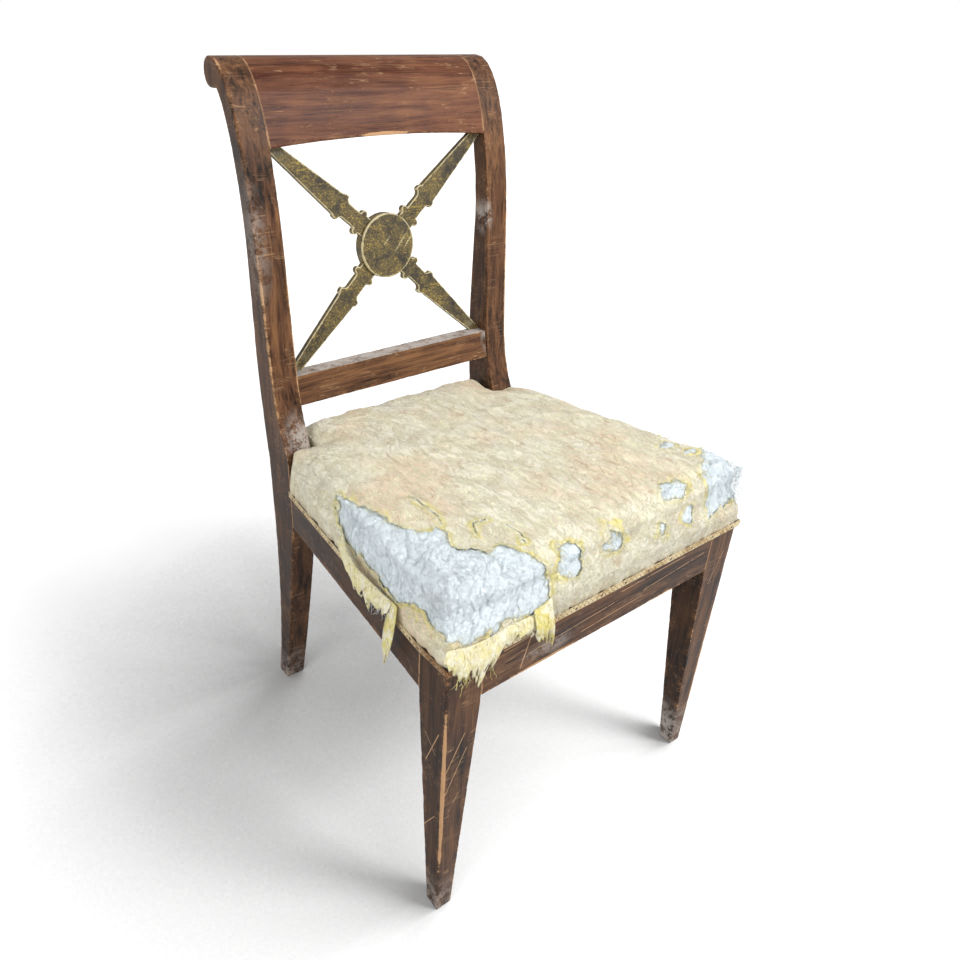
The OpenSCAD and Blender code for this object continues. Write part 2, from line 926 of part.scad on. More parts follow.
// Outer faces of the frame from the right rear leg's front to the left one's, moved out by off
function frame_line(off) =
    let (end = block_y - stile_gap,
         right = [[side_x(end) + off, end], [half_front + off, leg_w], [half_front + off, -off]])
    concat(right, [for (p = reversed(right)) [-p[0], p[1]]]);

module gimp_braid() {
    color(tan_braid)
        placed()
            difference() {
                translate([0, 0, gimp_z])
                    linear_extrude(gimp_h) {
                        polygon(concat(frame_line(gimp_t), reversed(frame_line(0))));
                        translate([-stile_in + stile_gap, rear_rail_y + rail_t])
                            square([2 * (stile_in - stile_gap), gimp_t]);
                    }
                gimp_pin_set(hole_gap);
            }
}

// A gimp pin driven along +Y, with the wood's face at y = 0
module gimp_pin(gap) {
    translate([0, -gimp_t - gap, gimp_z + gimp_h / 2])
        rotate([-90, 0, 0])
            cylinder(r = pin_r + gap, h = pin_bite + gimp_t + 2 * gap, $fn = 16);
    translate([0, -gimp_t - pin_head_t, gimp_z + gimp_h / 2])
        rotate([-90, 0, 0])
            cylinder(r = pin_head_r, h = pin_head_t, $fn = 16);
}

// Evenly spaced places from a to b, no further apart than the pitch
function spaced(a, b) =
    let (n = ceil((b - a) / pin_pitch))
    [for (i = [0 : n]) a + i * (b - a) / n];

module gimp_pin_set(gap) {
    for (x = spaced(-half_front + pin_end, half_front - pin_end))
        translate([x, 0, 0])
            gimp_pin(gap);
    for (x = spaced(-stile_in + pin_end, stile_in - pin_end))
        translate([x, rear_rail_y + rail_t, 0])
            rotate([0, 0, 180])
                gimp_pin(gap);
    for (side = [-1, 1])
        on_side(side) {
            translate([half_front, leg_w / 2, 0])
                rotate([0, 0, 90])
                    gimp_pin(gap);
            for (y = spaced(leg_w + pin_end, block_y - pin_end))
                translate([side_x(y), y, 0])
                    rotate([0, 0, 90 + splay])
                        gimp_pin(gap);
        }
}

module gimp_pins() {
    color(steel)
        placed()
            gimp_pin_set(0);
}

front_leg(-1);  // front_leg_left
front_leg(1);  // front_leg_right
rear_leg(-1);  // rear_leg_left
rear_leg(1);  // rear_leg_right
front_seat_rail();
rear_seat_rail();
side_seat_rail(-1);  // side_seat_rail_left
side_seat_rail(1);  // side_seat_rail_right
crest_rail();
lower_back_rail();
splat_disc();
splat_spear(-1, open_high);  // splat_spear_upper_left
splat_spear(1, open_high);  // splat_spear_upper_right
splat_spear(-1, open_low);  // splat_spear_lower_left
splat_spear(1, open_low);  // splat_spear_lower_right
corner_block(-1, false);  // corner_block_front_left
corner_block(1, false);  // corner_block_front_right
corner_block(-1, true);  // corner_block_rear_left
corner_block(1, true);  // corner_block_rear_right
corner_screws();
webbing_lengthwise();
webbing_crosswise();
webbing_tacks();
base_cloth();
seat_stuffing();
seat_wadding();
seat_cover();
gimp_braid();
gimp_pins();
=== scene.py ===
import math
import random

import bmesh
import bpy
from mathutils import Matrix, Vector, noise
from mathutils.bvhtree import BVHTree
from mathutils.kdtree import KDTree


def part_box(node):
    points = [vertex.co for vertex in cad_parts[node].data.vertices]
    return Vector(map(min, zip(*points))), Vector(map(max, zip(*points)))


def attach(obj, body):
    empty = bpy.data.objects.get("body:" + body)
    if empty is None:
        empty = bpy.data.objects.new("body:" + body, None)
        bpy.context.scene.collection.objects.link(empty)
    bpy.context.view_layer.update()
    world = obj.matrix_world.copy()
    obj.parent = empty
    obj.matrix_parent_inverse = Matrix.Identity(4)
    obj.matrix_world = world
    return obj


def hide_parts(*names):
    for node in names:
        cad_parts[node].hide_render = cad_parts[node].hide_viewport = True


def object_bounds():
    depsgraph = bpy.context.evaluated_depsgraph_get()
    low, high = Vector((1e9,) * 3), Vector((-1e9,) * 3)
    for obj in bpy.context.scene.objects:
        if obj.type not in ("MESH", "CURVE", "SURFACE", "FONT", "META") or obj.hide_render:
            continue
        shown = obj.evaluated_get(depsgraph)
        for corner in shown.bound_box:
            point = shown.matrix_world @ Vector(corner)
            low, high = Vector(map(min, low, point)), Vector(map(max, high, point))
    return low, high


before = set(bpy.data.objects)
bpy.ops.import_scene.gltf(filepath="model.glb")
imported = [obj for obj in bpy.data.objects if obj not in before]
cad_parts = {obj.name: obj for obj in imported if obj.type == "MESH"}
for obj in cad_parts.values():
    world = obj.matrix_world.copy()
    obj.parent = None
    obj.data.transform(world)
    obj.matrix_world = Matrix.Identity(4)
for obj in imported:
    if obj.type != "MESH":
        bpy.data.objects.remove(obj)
CAD_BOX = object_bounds()

bl_info = {
    "name": "Worn side chair",
    "version": (1, 0, 0),
    "blender": (4, 5, 0),
    "location": "3D View > Sidebar > Chair",
    "description": "Finishes a torn, worn side chair on its wooden frame",
    "category": "Object",
}

MM = 0.001
SIDES = ("left", "right")


# Sizes that the frame gives

def low(node):
    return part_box(node)[0]


def high(node):
    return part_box(node)[1]


FRONT = low("front_leg_left").y
HALF_FRONT = high("front_leg_right").x
LEG_W = high("front_leg_right").y - FRONT
RAIL_TOP = high("front_leg_left").z
RAIL_LOW = low("front_seat_rail").z
STILE_IN, STILE_OUT = low("rear_leg_right").x, high("rear_leg_right").x
BLOCK_Y = low("rear_leg_right").y
REAR_FACE = high("rear_seat_rail").y
CHAIR_TOP = high("crest_rail").z
GIMP_LOW, GIMP_TOP = low("gimp_braid").z, high("gimp_braid").z
DISC = (low("splat_disc") + high("splat_disc")) / 2
LEG_BEND = FRONT + LEG_W


def side_face(y):
    """Distance of the seat frame's outer face from the middle, at depth y."""
    share = max(0.0, (y - LEG_BEND) / (BLOCK_Y - LEG_BEND))
    return HALF_FRONT + (STILE_OUT - HALF_FRONT) * share


def linear(code):
    """A colour such as "8a5a3c" as the four numbers that a shader takes."""
    parts = [int(code[i:i + 2], 16) / 255 for i in (0, 2, 4)]
    return tuple(c / 12.92 if c <= 0.04045 else ((c + 0.055) / 1.055) ** 2.4 for c in parts) + (1,)


# Shader building

class Value:
    """One output of a node, which numbers and other outputs can be reckoned with."""

    def __init__(self, finish, socket):
        self.finish = finish
        self.socket = socket

    def math(self, operation, *others):
        return self.finish.node("Math", {"operation": operation}, (self, *others))

    def __add__(self, other):
        return self.math("ADD", other)

    def __sub__(self, other):
        return self.math("SUBTRACT", other)

    def __rsub__(self, other):
        return self.finish.node("Math", {"operation": "SUBTRACT"}, (other, self))

    def __mul__(self, other):
        return self.math("MULTIPLY", other)

    __radd__ = __add__
    __rmul__ = __mul__

    def __abs__(self):
        return self.math("ABSOLUTE")

    def most(self, other):
        return self.math("MAXIMUM", other)

    def least(self, other):
        return self.math("MINIMUM", other)

    def step(self, start, end):
        """0 up to start and 1 from end on, smooth between them."""
        settings = {"interpolation_type": "SMOOTHSTEP"}
        return self.finish.node("MapRange", settings, (self, start, end, 0.0, 1.0))


class Finish:
    """Builds the nodes of one material, or of a world."""

    def __init__(self, name, kind="materials"):
        self.material = getattr(bpy.data, kind).new(name)
        self.material.use_nodes = True
        self.tree = self.material.node_tree
        self.tree.nodes.clear()
        self.place = self.node("TexCoord", output="Object")

    def node(self, kind, settings=None, inputs=(), output=0):
        """Adds a node with its settings, then its sockets' values or links, and gives one output."""
        made = self.tree.nodes.new("ShaderNode" + kind)
        for name, value in (settings or {}).items():
            if name == "stops":
                while len(made.color_ramp.elements) < len(value):
                    made.color_ramp.elements.new(1)
                for element, (position, colour) in zip(made.color_ramp.elements, value):
                    element.position = position
                    element.color = colour
            else:
                setattr(made, name, value)
        for key, value in inputs.items() if isinstance(inputs, dict) else enumerate(inputs):
            if isinstance(value, Value):
                self.tree.links.new(value.socket, made.inputs[key])
            elif value is not None:
                made.inputs[key].default_value = value
        return Value(self, made.outputs[output])

    def moved(self, turn=(0, 0, 0), scale=(1, 1, 1)):
        """Object coordinates that are scaled and turned."""
        return self.node("Mapping", inputs={"Vector": self.place, "Rotation": turn, "Scale": scale})

    def noise(self, vector, scale, detail=3.0, roughness=0.55, distortion=0.0):
        values = {"Vector": vector, "Scale": scale, "Detail": detail, "Roughness": roughness,
                  "Distortion": distortion}
        return self.node("TexNoise", inputs=values)

    def attribute(self, name):
        return self.node("Attribute", {"attribute_name": name}, output="Fac")

    def ramp(self, factor, *stops):
        return self.node("ValToRGB", {"stops": stops}, (factor,))

    def mix(self, factor, first, second):
        """The first colour where factor is 0 and the second where it is 1."""
        return self.node("Mix", {"data_type": "RGBA"}, {0: factor, 6: first, 7: second}, 2)

    def axis(self, vector, name):
        return self.node("SeparateXYZ", inputs=(vector,), output=name)

    def up(self):
        """How far the surface faces upwards, from -1 to 1."""
        return self.axis(self.node("NewGeometry", output="Normal"), "Z")

    def vector_math(self, operation, first, second, output=0):
        return self.node("VectorMath", {"operation": operation}, (first, second), output)

    def scratch(self, start, end, width):
        """1 along a straight scratch from start to end, fading at its sides."""
        start, end = Vector(start), Vector(end)
        line = end - start
        offset = self.vector_math("SUBTRACT", self.place, start)
        share = self.vector_math("DOT_PRODUCT", offset, line / line.length_squared, "Value")
        share = share.most(0.0).least(1.0)
        nearest = self.node("VectorMath", {"operation": "SCALE"}, {"Vector": tuple(line), "Scale": share})
        away = self.vector_math("SUBTRACT", offset, nearest)
        distance = self.node("VectorMath", {"operation": "LENGTH"}, (away,), "Value")
        return 1 - distance.step(width * 0.4, width)

    def blotch(self, middle, radii):
        """1 at a spot, fading to 0 at its radii."""
        offset = self.vector_math("SUBTRACT", self.place, middle)
        scaled = self.vector_math("DIVIDE", offset, radii)
        distance = self.node("VectorMath", {"operation": "LENGTH"}, (scaled,), "Value")
        return 1 - distance.step(0.2, 1.0)

    def bump(self, height, distance, strength=1.0):
        return self.node("Bump", inputs={"Height": height, "Distance": distance, "Strength": strength})

    def surface(self, values):
        shader = self.node("BsdfPrincipled", inputs=values, output="BSDF")
        self.node_output(shader)
        return self.material

    def node_output(self, shader, kind="Material"):
        made = self.tree.nodes.new("ShaderNodeOutput" + kind)
        self.tree.links.new(shader.socket, made.inputs["Surface"])


# Sizes and colours that can be set

def colour(name, description, code):
    return bpy.props.FloatVectorProperty(
        name=name, description=description, default=linear(code), size=4, subtype="COLOR", min=0, max=1)


def length(name, description, millimetres):
    return bpy.props.FloatProperty(
        name=name, description=description, default=millimetres * MM, unit="LENGTH", min=0)


class ChairWood(bpy.types.PropertyGroup):
    dark: colour("Dark stain", "The darkest figure of the stained wood", "150d08")
    stain: colour("Stain", "The usual colour of the stained wood", "573a28")
    light: colour("Light stain", "Where the stain has thinned to orange brown", "7f593b")
    bare: colour("Bare wood", "Wood that wear has laid bare", "c39a72")
    # Dust colour, also used for the painted highlight on the left stile
    dust: colour("Dust", "Dust and old polish in the corners", "b3aaa2")
    arris: length("Arris radius", "Rounding of the exposed arrises", 1.4)
    joint: length("Joint radius", "Rounding of the edges at the joints", 0.5)
    chip: length("Chip depth", "Deepest dent in an arris", 0.9)
    facet: length("Mesh size", "Longest edge of the wood's mesh near an arris", 4.0)


class ChairSplat(bpy.types.PropertyGroup):
    bronze: colour("Bronze", "Old bronze paint", "564a2c")
    dark: colour("Dark bronze", "Bronze paint gone dark", "211a11")
    gold: colour("Gold", "Flecks where the bronze still shines", "b79c4c")
    # Colour of the painted highlight along the splat's edges, also used for the disc's scratches
    rim_highlight: colour("Rim", "Rubbed edges of the splat", "cdbf96")
    arris: length("Arris radius", "Rounding of the splat's edges", 0.6)


class ChairSeat(bpy.types.PropertyGroup):
    cream: colour("Cream", "The cover's pale ground", "e7e1cd")
    tan: colour("Tan", "The cover's dull leaves", "c7b89c")
    blush: colour("Blush", "Pinkish stains on the cover", "dfc3a3")
    yellow: colour("Yellow", "Bright yarn at the torn edges", "dfd277")
    wadding: colour("Wadding", "Cotton wadding", "f0fafe")
    shade: colour("Wadding shade", "Wadding in its folds", "e4eff4")
    voxel: length("Voxel", "Mesh size of the pad before it is filled out", 5.0)
    cap: length("Fill", "How far the filling may push the pad out", 9.0)
    pressure: bpy.props.FloatProperty(name="Pressure", description="Pressure of the filling", default=4.0)
    cloth: length("Cover thickness", "Thickness of the cover", 0.8)
    crease: length("Crease height", "Height of the cover's creases", 2.8)


class ChairTrim(bpy.types.PropertyGroup):
    gimp: colour("Gimp", "The braid along the cover's edge", "d6c39b")
    gimp_dark: colour("Gimp shade", "The braid's darker strands", "a8895f")
    pitch: length("Braid pitch", "Length of one crossing of the braid", 3.2)
    steel: colour("Steel", "Dull steel of tacks, pins and screws", "5c5852")
    rust: colour("Rust", "Rust on the tacks and screws", "5b3320")
    jute: colour("Jute", "Webbing and base cloth", "9c8259")
    fibre: colour("Fibre", "The stuffing's fibre", "4a3626")
    block: colour("Block wood", "The corner blocks' plain wood", "7c5a3c")


class ChairStage(bpy.types.PropertyGroup):
    azimuth: bpy.props.FloatProperty(
        name="Azimuth", description="Direction of the camera round the chair",
        default=math.radians(-34.74), subtype="ANGLE")
    elevation: bpy.props.FloatProperty(
        name="Elevation", description="Height of the camera above the level",
        default=math.radians(29.62), subtype="ANGLE")
    eye: bpy.props.FloatVectorProperty(
        name="Eye", description="Place of the camera", default=(-0.5656, -0.6562, 0.8929),
        subtype="TRANSLATION", unit="LENGTH")
    lens: bpy.props.FloatProperty(name="Lens", description="Focal length in millimetres", default=28.16)
    floor: colour("Floor", "Plain pale floor", "bcbcbc")
    key: bpy.props.FloatProperty(
        name="Key light", description="Power of the main lamp in watts", default=72.0)
    fill: bpy.props.FloatProperty(
        name="Sky", description="Strength of the light all round", default=0.6)


# Pieces

BEVEL = {"offset_type": "OFFSET", "profile": 0.5, "affect": "EDGES", "material": -1}


def new_object(name, mesh):
    made = bpy.data.objects.new(name, mesh)
    bpy.context.scene.collection.objects.link(made)
    return made


def taken(bm, name):
    mesh = bpy.data.meshes.new(name)
    bm.to_mesh(mesh)
    bm.free()
    return mesh


def finished(bm, name, material, smooth_angle=None):
    """Makes the mesh a piece that rides on the chair, with smooth faces and sharp edges over an angle."""
    mesh = bpy.data.meshes.new(name)
    for face in bm.faces:
        face.smooth = True
    if smooth_angle is not None:
        for edge in bm.edges:
            edge.smooth = len(edge.link_faces) == 2 and edge.calc_face_angle(0) < smooth_angle
    bm.to_mesh(mesh)
    bm.free()
    piece = new_object(name, mesh)
    mesh.materials.append(material)
    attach(piece, "root")
    return piece


def thicken(piece, thickness):
    thick = piece.modifiers.new("thickness", "SOLIDIFY")
    thick.thickness = thickness
    thick.offset = 0


def merged_copy(node):
    """A node's mesh with its loose triangles joined and its flat faces made whole."""
    bm = bmesh.new()
    bm.from_mesh(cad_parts[node].data)
    bmesh.ops.remove_doubles(bm, verts=bm.verts, dist=0.002 * MM)
    bmesh.ops.dissolve_limit(
        bm, angle_limit=math.radians(0.3), verts=bm.verts, edges=bm.edges, use_dissolve_boundaries=False)
    return bm


def sharp_chains(bm, angle, shortest):
    """Edges sharper than an angle, in connected chains at least as long as shortest, so no pin holes."""
    sharp = {e for e in bm.edges if e.is_manifold and e.calc_face_angle(0) > angle}
    kept = set()
    while sharp:
        chain, front = [], [sharp.pop()]
        while front:
            edge = front.pop()
            chain.append(edge)
            for vert in edge.verts:
                for other in vert.link_edges:
                    if other in sharp:
                        sharp.remove(other)
                        front.append(other)
        if sum(e.calc_length() for e in chain) >= shortest:
            kept.update(chain)
    return [edge for edge in bm.edges if edge in kept]


def points_along(edges, spacing):
    points = []
    for edge in edges:
        a, b = (v.co.copy() for v in edge.verts)
        steps = max(1, math.ceil((b - a).length / spacing))
        points += [a.lerp(b, (i + 0.5) / steps) for i in range(steps)]
    return points


def tree_of(points):
    tree = KDTree(max(1, len(points)))
    for i, point in enumerate(points or [Vector((0, 0, 9))]):
        tree.insert(point, i)
    tree.balance()
    return tree


def refine(bm, near, reach, fine, coarse):
    """Splits edges until none is longer than fine within reach of the points, or than coarse elsewhere."""
    bmesh.ops.triangulate(bm, faces=bm.faces)
    for _ in range(8):
        too_long = []
        for edge in bm.edges:
            size = edge.calc_length()
            if size > fine:
                middle = (edge.verts[0].co + edge.verts[1].co) / 2
                if size > coarse or near.find(middle)[2] < reach + size / 2:
                    too_long.append(edge)
        if not too_long:
            break
        bmesh.ops.subdivide_edges(bm, edges=too_long, cuts=1)
        bmesh.ops.triangulate(bm, faces=[f for f in bm.faces if len(f.verts) > 3])


def layer(bm, name):
    return bm.verts.layers.float.get(name) or bm.verts.layers.float.new(name)


WEAR_REACH = 20 * MM
SHARP = math.radians(28)
SHORTEST_ARRIS = 40 * MM
JOINT_GAP = 0.6 * MM
PATH_STEP = 2 * MM


def worn_wood(node, others, material, wood, arris, seed):
    """A wooden piece over its node: rounded and dented arrises, and how far each point lies from them."""
    bm = merged_copy(node)
    joints, arrises = [], []
    for edge in sharp_chains(bm, SHARP, SHORTEST_ARRIS):
        middle = (edge.verts[0].co + edge.verts[1].co) / 2
        met = any(tree.find_nearest(middle, JOINT_GAP)[0] is not None for tree in others)
        (joints if met else arrises).append(edge)
    worn, joined = tree_of(points_along(arrises, PATH_STEP)), tree_of(points_along(joints, PATH_STEP))
    for edges, offset, segments in ((joints, wood.joint, 1), (arrises, arris, 2)):
        edges = [e for e in edges if e.is_valid]
        if edges:
            bmesh.ops.bevel(bm, geom=edges, offset=offset, segments=segments, clamp_overlap=False, **BEVEL)
    bmesh.ops.remove_doubles(bm, verts=bm.verts, dist=0.02 * MM)
    refine(bm, worn, 5 * MM, wood.facet, 3 * wood.facet)
    bm.normal_update()
    to_arris, to_joint = layer(bm, "to_arris"), layer(bm, "to_joint")
    shift = Vector((seed * 3.7, seed * 1.3, seed * 2.1))
    for vert in bm.verts:
        distance = worn.find(vert.co)[2]
        vert[to_arris] = min(1.0, distance / WEAR_REACH)
        vert[to_joint] = min(1.0, joined.find(vert.co)[2] / WEAR_REACH)
        near = max(0.0, 1 - distance / (3 * arris))
        if near > 0:
            dent = noise.noise(vert.co * 60 + shift) + 0.6 * noise.noise(vert.co * 190 + shift)
            vert.co -= vert.normal * wood.chip * near * max(0.0, dent - 0.05)
    piece = finished(bm, node + "_worn", material, math.radians(40))
    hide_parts(node)
    return piece


def neighbour_trees(node, nodes):
    """Search trees of the nodes that touch this one, for finding its joints."""
    lo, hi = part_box(node)
    trees = []
    for other in nodes:
        a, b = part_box(other)
        if other != node and all(a[i] < hi[i] + 2 * MM and b[i] > lo[i] - 2 * MM for i in range(3)):
            trees.append(TREES[other])
    return trees


FRAME_WOOD = (
    "front_leg_left", "front_leg_right", "rear_leg_left", "rear_leg_right", "front_seat_rail",
    "rear_seat_rail", "side_seat_rail_left", "side_seat_rail_right", "crest_rail", "lower_back_rail")
SPEARS = tuple(f"splat_spear_{level}_{side}" for level in ("upper", "lower") for side in SIDES)


def mesh_tree(mesh):
    return BVHTree.FromPolygons([v.co for v in mesh.vertices], [p.vertices for p in mesh.polygons])


TREES = {node: mesh_tree(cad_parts[node].data) for node in FRAME_WOOD + SPEARS + ("splat_disc",)}


# Fine nicks in three directions: turn, fineness and rarity
NICKS = (((0.5, 0.9, 0.6), 150, 0.57), ((-0.7, 0.3, 1.9), 110, 0.58), ((0.1, -1.1, 0.2), 190, 0.6))


def stained_wood(name, along, wood, scratches=(), worn_spots=(), dust_and_highlight_spots=(), red=0.0):
    """Old stained wood whose grain runs along x, y or z.

    Scratches are starts, ends and widths. Worn spots, and spots of dust and of painted highlight, are
    middles, radii and amounts.
    """
    f = Finish(name)
    stretch = {"x": (0.07, 1, 1), "y": (1, 0.07, 1), "z": (1, 1, 0.07)}[along]
    grain_place = f.moved(scale=stretch)
    figure = f.noise(grain_place, 115, 7, 0.7, 0.6)
    pores = f.noise(f.moved(scale=tuple(s * s ** 0.35 for s in stretch)), 420, 3, 0.6)
    patches = f.noise(f.place, 9, 4, 0.6, 0.6)
    specks = f.noise(f.place, 330, 2, 0.5)
    shade = figure * 0.66 + patches * 0.34
    body = f.ramp(shade, (0.38, wood.dark), (0.49, wood.stain), (0.62, wood.light))
    body = f.mix(red, body, linear("8f452a"))
    body = f.mix(pores.step(0.56, 0.7) * 0.7, body, wood.dark)
    # Painted shade under the seat: the wood is darkened below 0.38 m, fading out by 0.5 m.
    body = f.mix((1 - f.axis(f.place, "Z").step(0.38, 0.5)) * 0.32, body, wood.dark)
    to_arris, to_joint = f.attribute("to_arris"), f.attribute("to_joint")
    # Painted shade: wood faces whose normals point along x, the chair's sides, are darkened towards the
    # dark stain.
    facing = f.node("NewGeometry", output="Normal")
    body = f.mix(abs(f.axis(facing, "X")).step(0.55, 0.95) * 0.5, body, wood.dark)
    rub = f.noise(f.place, 52, 4, 0.65) * 0.7 + specks * 0.3
    edge = 1 - to_arris.step(0.0, 0.2)
    halo = (1 - to_arris.step(0.0, 0.5)) * rub.step(0.46, 0.62)
    bare = (edge + rub * 1.5 - 1.72).step(0.0, 0.14)
    for middle, radii, amount in worn_spots:
        spot = f.blotch(middle, radii) * (1 - to_arris.step(0.1, 0.35))
        bare = bare.most((spot * amount + rub - 1.0).step(0.0, 0.18))
    # Finish broken along the joints, wear beside the arrises, nicks, chips and named scratches
    seam = (1 - to_joint.step(0.03, 0.085)) * rub.step(0.36, 0.46)
    body = f.mix(halo * 0.7, body, wood.light)
    body = f.mix(bare.most(seam * 0.8) * 0.9, body, wood.bare)
    marks = 0.0
    for turn, scale, rarity in NICKS:
        fine = f.noise(f.moved(turn=turn, scale=(0.035, 1, 1)), scale, 2, 0.5)
        where = f.noise(f.place, 30, 2).step(rarity - 0.06, rarity)
        marks = ((1 - abs(fine - 0.5).step(0.0, 0.009)) * where).most(marks)
    chips = specks.step(0.66, 0.7) * f.noise(f.place, 22, 3).step(0.48, 0.6)
    marks = marks * 0.45
    for start, end, width in scratches:
        marks = marks.most(f.scratch(start, end, width) * rub.step(0.34, 0.48))
    body = f.mix(marks.most(chips * 0.22), body, wood.bare)
    # Dirt at the feet, dust on what faces up under the back, and the listed spots of dust and painted
    # highlight, all in the dust colour
    height = f.axis(f.place, "Z")
    dust = (1 - height.step(0.0, 0.07)) * rub.step(0.42, 0.6) * 0.6
    shelf = f.up().step(0.6, 0.9) * (1 - height.step(0.56, 0.6)) * rub.step(0.3, 0.55)
    dust = dust.most(shelf)
    # The listed spots add dust and painted highlight
    for middle, radii, amount in dust_and_highlight_spots:
        dust = dust.most(f.blotch(middle, radii) * rub.step(0.4, 0.58) * amount)
    body = f.mix(dust, body, wood.dust)
    ridge = figure * 0.4 + pores * 0.4 - bare * 0.25 - marks * 0.5
    return f.surface({
        "Base Color": body,
        "Roughness": 0.38 + patches * 0.2 + bare * 0.3 + dust * 0.3,
        "Normal": f.bump(ridge, 0.6 * MM, 0.9),
        "Specular IOR Level": 0.16,
    })


class CHAIR_OT_stage(bpy.types.Operator):
    """Floor, backdrop, lamps and camera"""
    bl_idname = "chair.stage"
    bl_label = "Stage"

    def execute(self, context):
        stage = context.scene.chair_stage
        scene = context.scene
        scene.view_settings.view_transform = "Standard"
        self.floor(stage)

        white = (1, 1, 1, 1)
        sky = Finish("studio", "worlds")
        camera_ray = sky.node("LightPath", output="Is Camera Ray")
        light = sky.node("Background", inputs={"Color": white, "Strength": stage.fill})
        backdrop = sky.node("Background", inputs={"Color": white, "Strength": 1.0})
        sky.node_output(sky.node("MixShader", inputs=(camera_ray, light, backdrop)), "World")
        scene.world = sky.material

        middle = (CAD_BOX[0] + CAD_BOX[1]) / 2
        for name, place, size, power in (
                ("key", Vector((1.3, -1.9, 2.45)), 1.0, stage.key),
                ("side", Vector((-2.3, -0.9, 1.5)), 1.6, stage.key * 0.42)):
            lamp = bpy.data.lights.new(name, "AREA")
            lamp.shape = "DISK"
            lamp.size = size
            lamp.energy = power
            lamp_object = bpy.data.objects.new(name, lamp)
            lamp_object.location = place
            lamp_object.rotation_euler = (middle - place).to_track_quat("-Z", "Y").to_euler()
            scene.collection.objects.link(lamp_object)

        camera = bpy.data.cameras.new("camera")
        camera.lens = stage.lens
        camera.sensor_width = 36
        camera.shift_x, camera.shift_y = 0.0883, -0.0040
        camera.clip_start, camera.clip_end = 0.05, 100
        back = Vector((
            math.sin(stage.azimuth) * math.cos(stage.elevation),
            -math.cos(stage.azimuth) * math.cos(stage.elevation),
            math.sin(stage.elevation)))
        camera_object = bpy.data.objects.new("camera", camera)
        camera_object.location = stage.eye
        camera_object.rotation_euler = (-back).to_track_quat("-Z", "Y").to_euler()
        scene.collection.objects.link(camera_object)
        scene.camera = camera_object
        return {"FINISHED"}

    def floor(self, stage):
        """A plain floor that glows for camera and glossy rays to melt into the backdrop, with a painted
        shadow where the chair hides the lamp's side.
        """
        f = Finish("pale_floor")
        seen = f.node("LightPath", output="Is Camera Ray").most(f.node("LightPath", output="Is Glossy Ray"))
        diffuse = f.node("BsdfDiffuse", inputs={"Color": tuple(stage.floor)})
        dark, near_glow, far_glow = (
            f.node("Emission", inputs={"Color": (1, 1, 1, 1), "Strength": strength})
            for strength in (0.0, 0.64, 1.0))
        away = f.node("VectorMath", {"operation": "LENGTH"}, (f.place,), "Value")
        glow = f.node("MixShader", inputs=(away.step(0.9, 3.0), near_glow, far_glow))
        # Painted shadow: the glow dims where occlusion, leaning towards the lamp, finds the chair
        towards_lamp = Vector((0.76, -0.55, 0.34)).normalized()
        slight = f.vector_math("MULTIPLY", f.place, (0.001, 0.001, 0.001))
        leaning = f.vector_math("ADD", slight, towards_lamp)
        painted_shadow_clearance = f.node(
            "AmbientOcclusion", {"samples": 16}, {"Distance": 0.95, "Normal": leaning}, "AO")
        glow = f.node("MixShader", inputs=(painted_shadow_clearance.step(0.7, 0.99), dark, glow))
        glow = f.node("MixShader", inputs=(seen, dark, glow))
        f.node_output(f.node("AddShader", inputs=(diffuse, glow)))
        bm = bmesh.new()
        bmesh.ops.create_grid(bm, x_segments=2, y_segments=2, size=60)
        floor = new_object("floor", taken(bm, "floor"))
        floor.data.materials.append(f.material)
        return floor


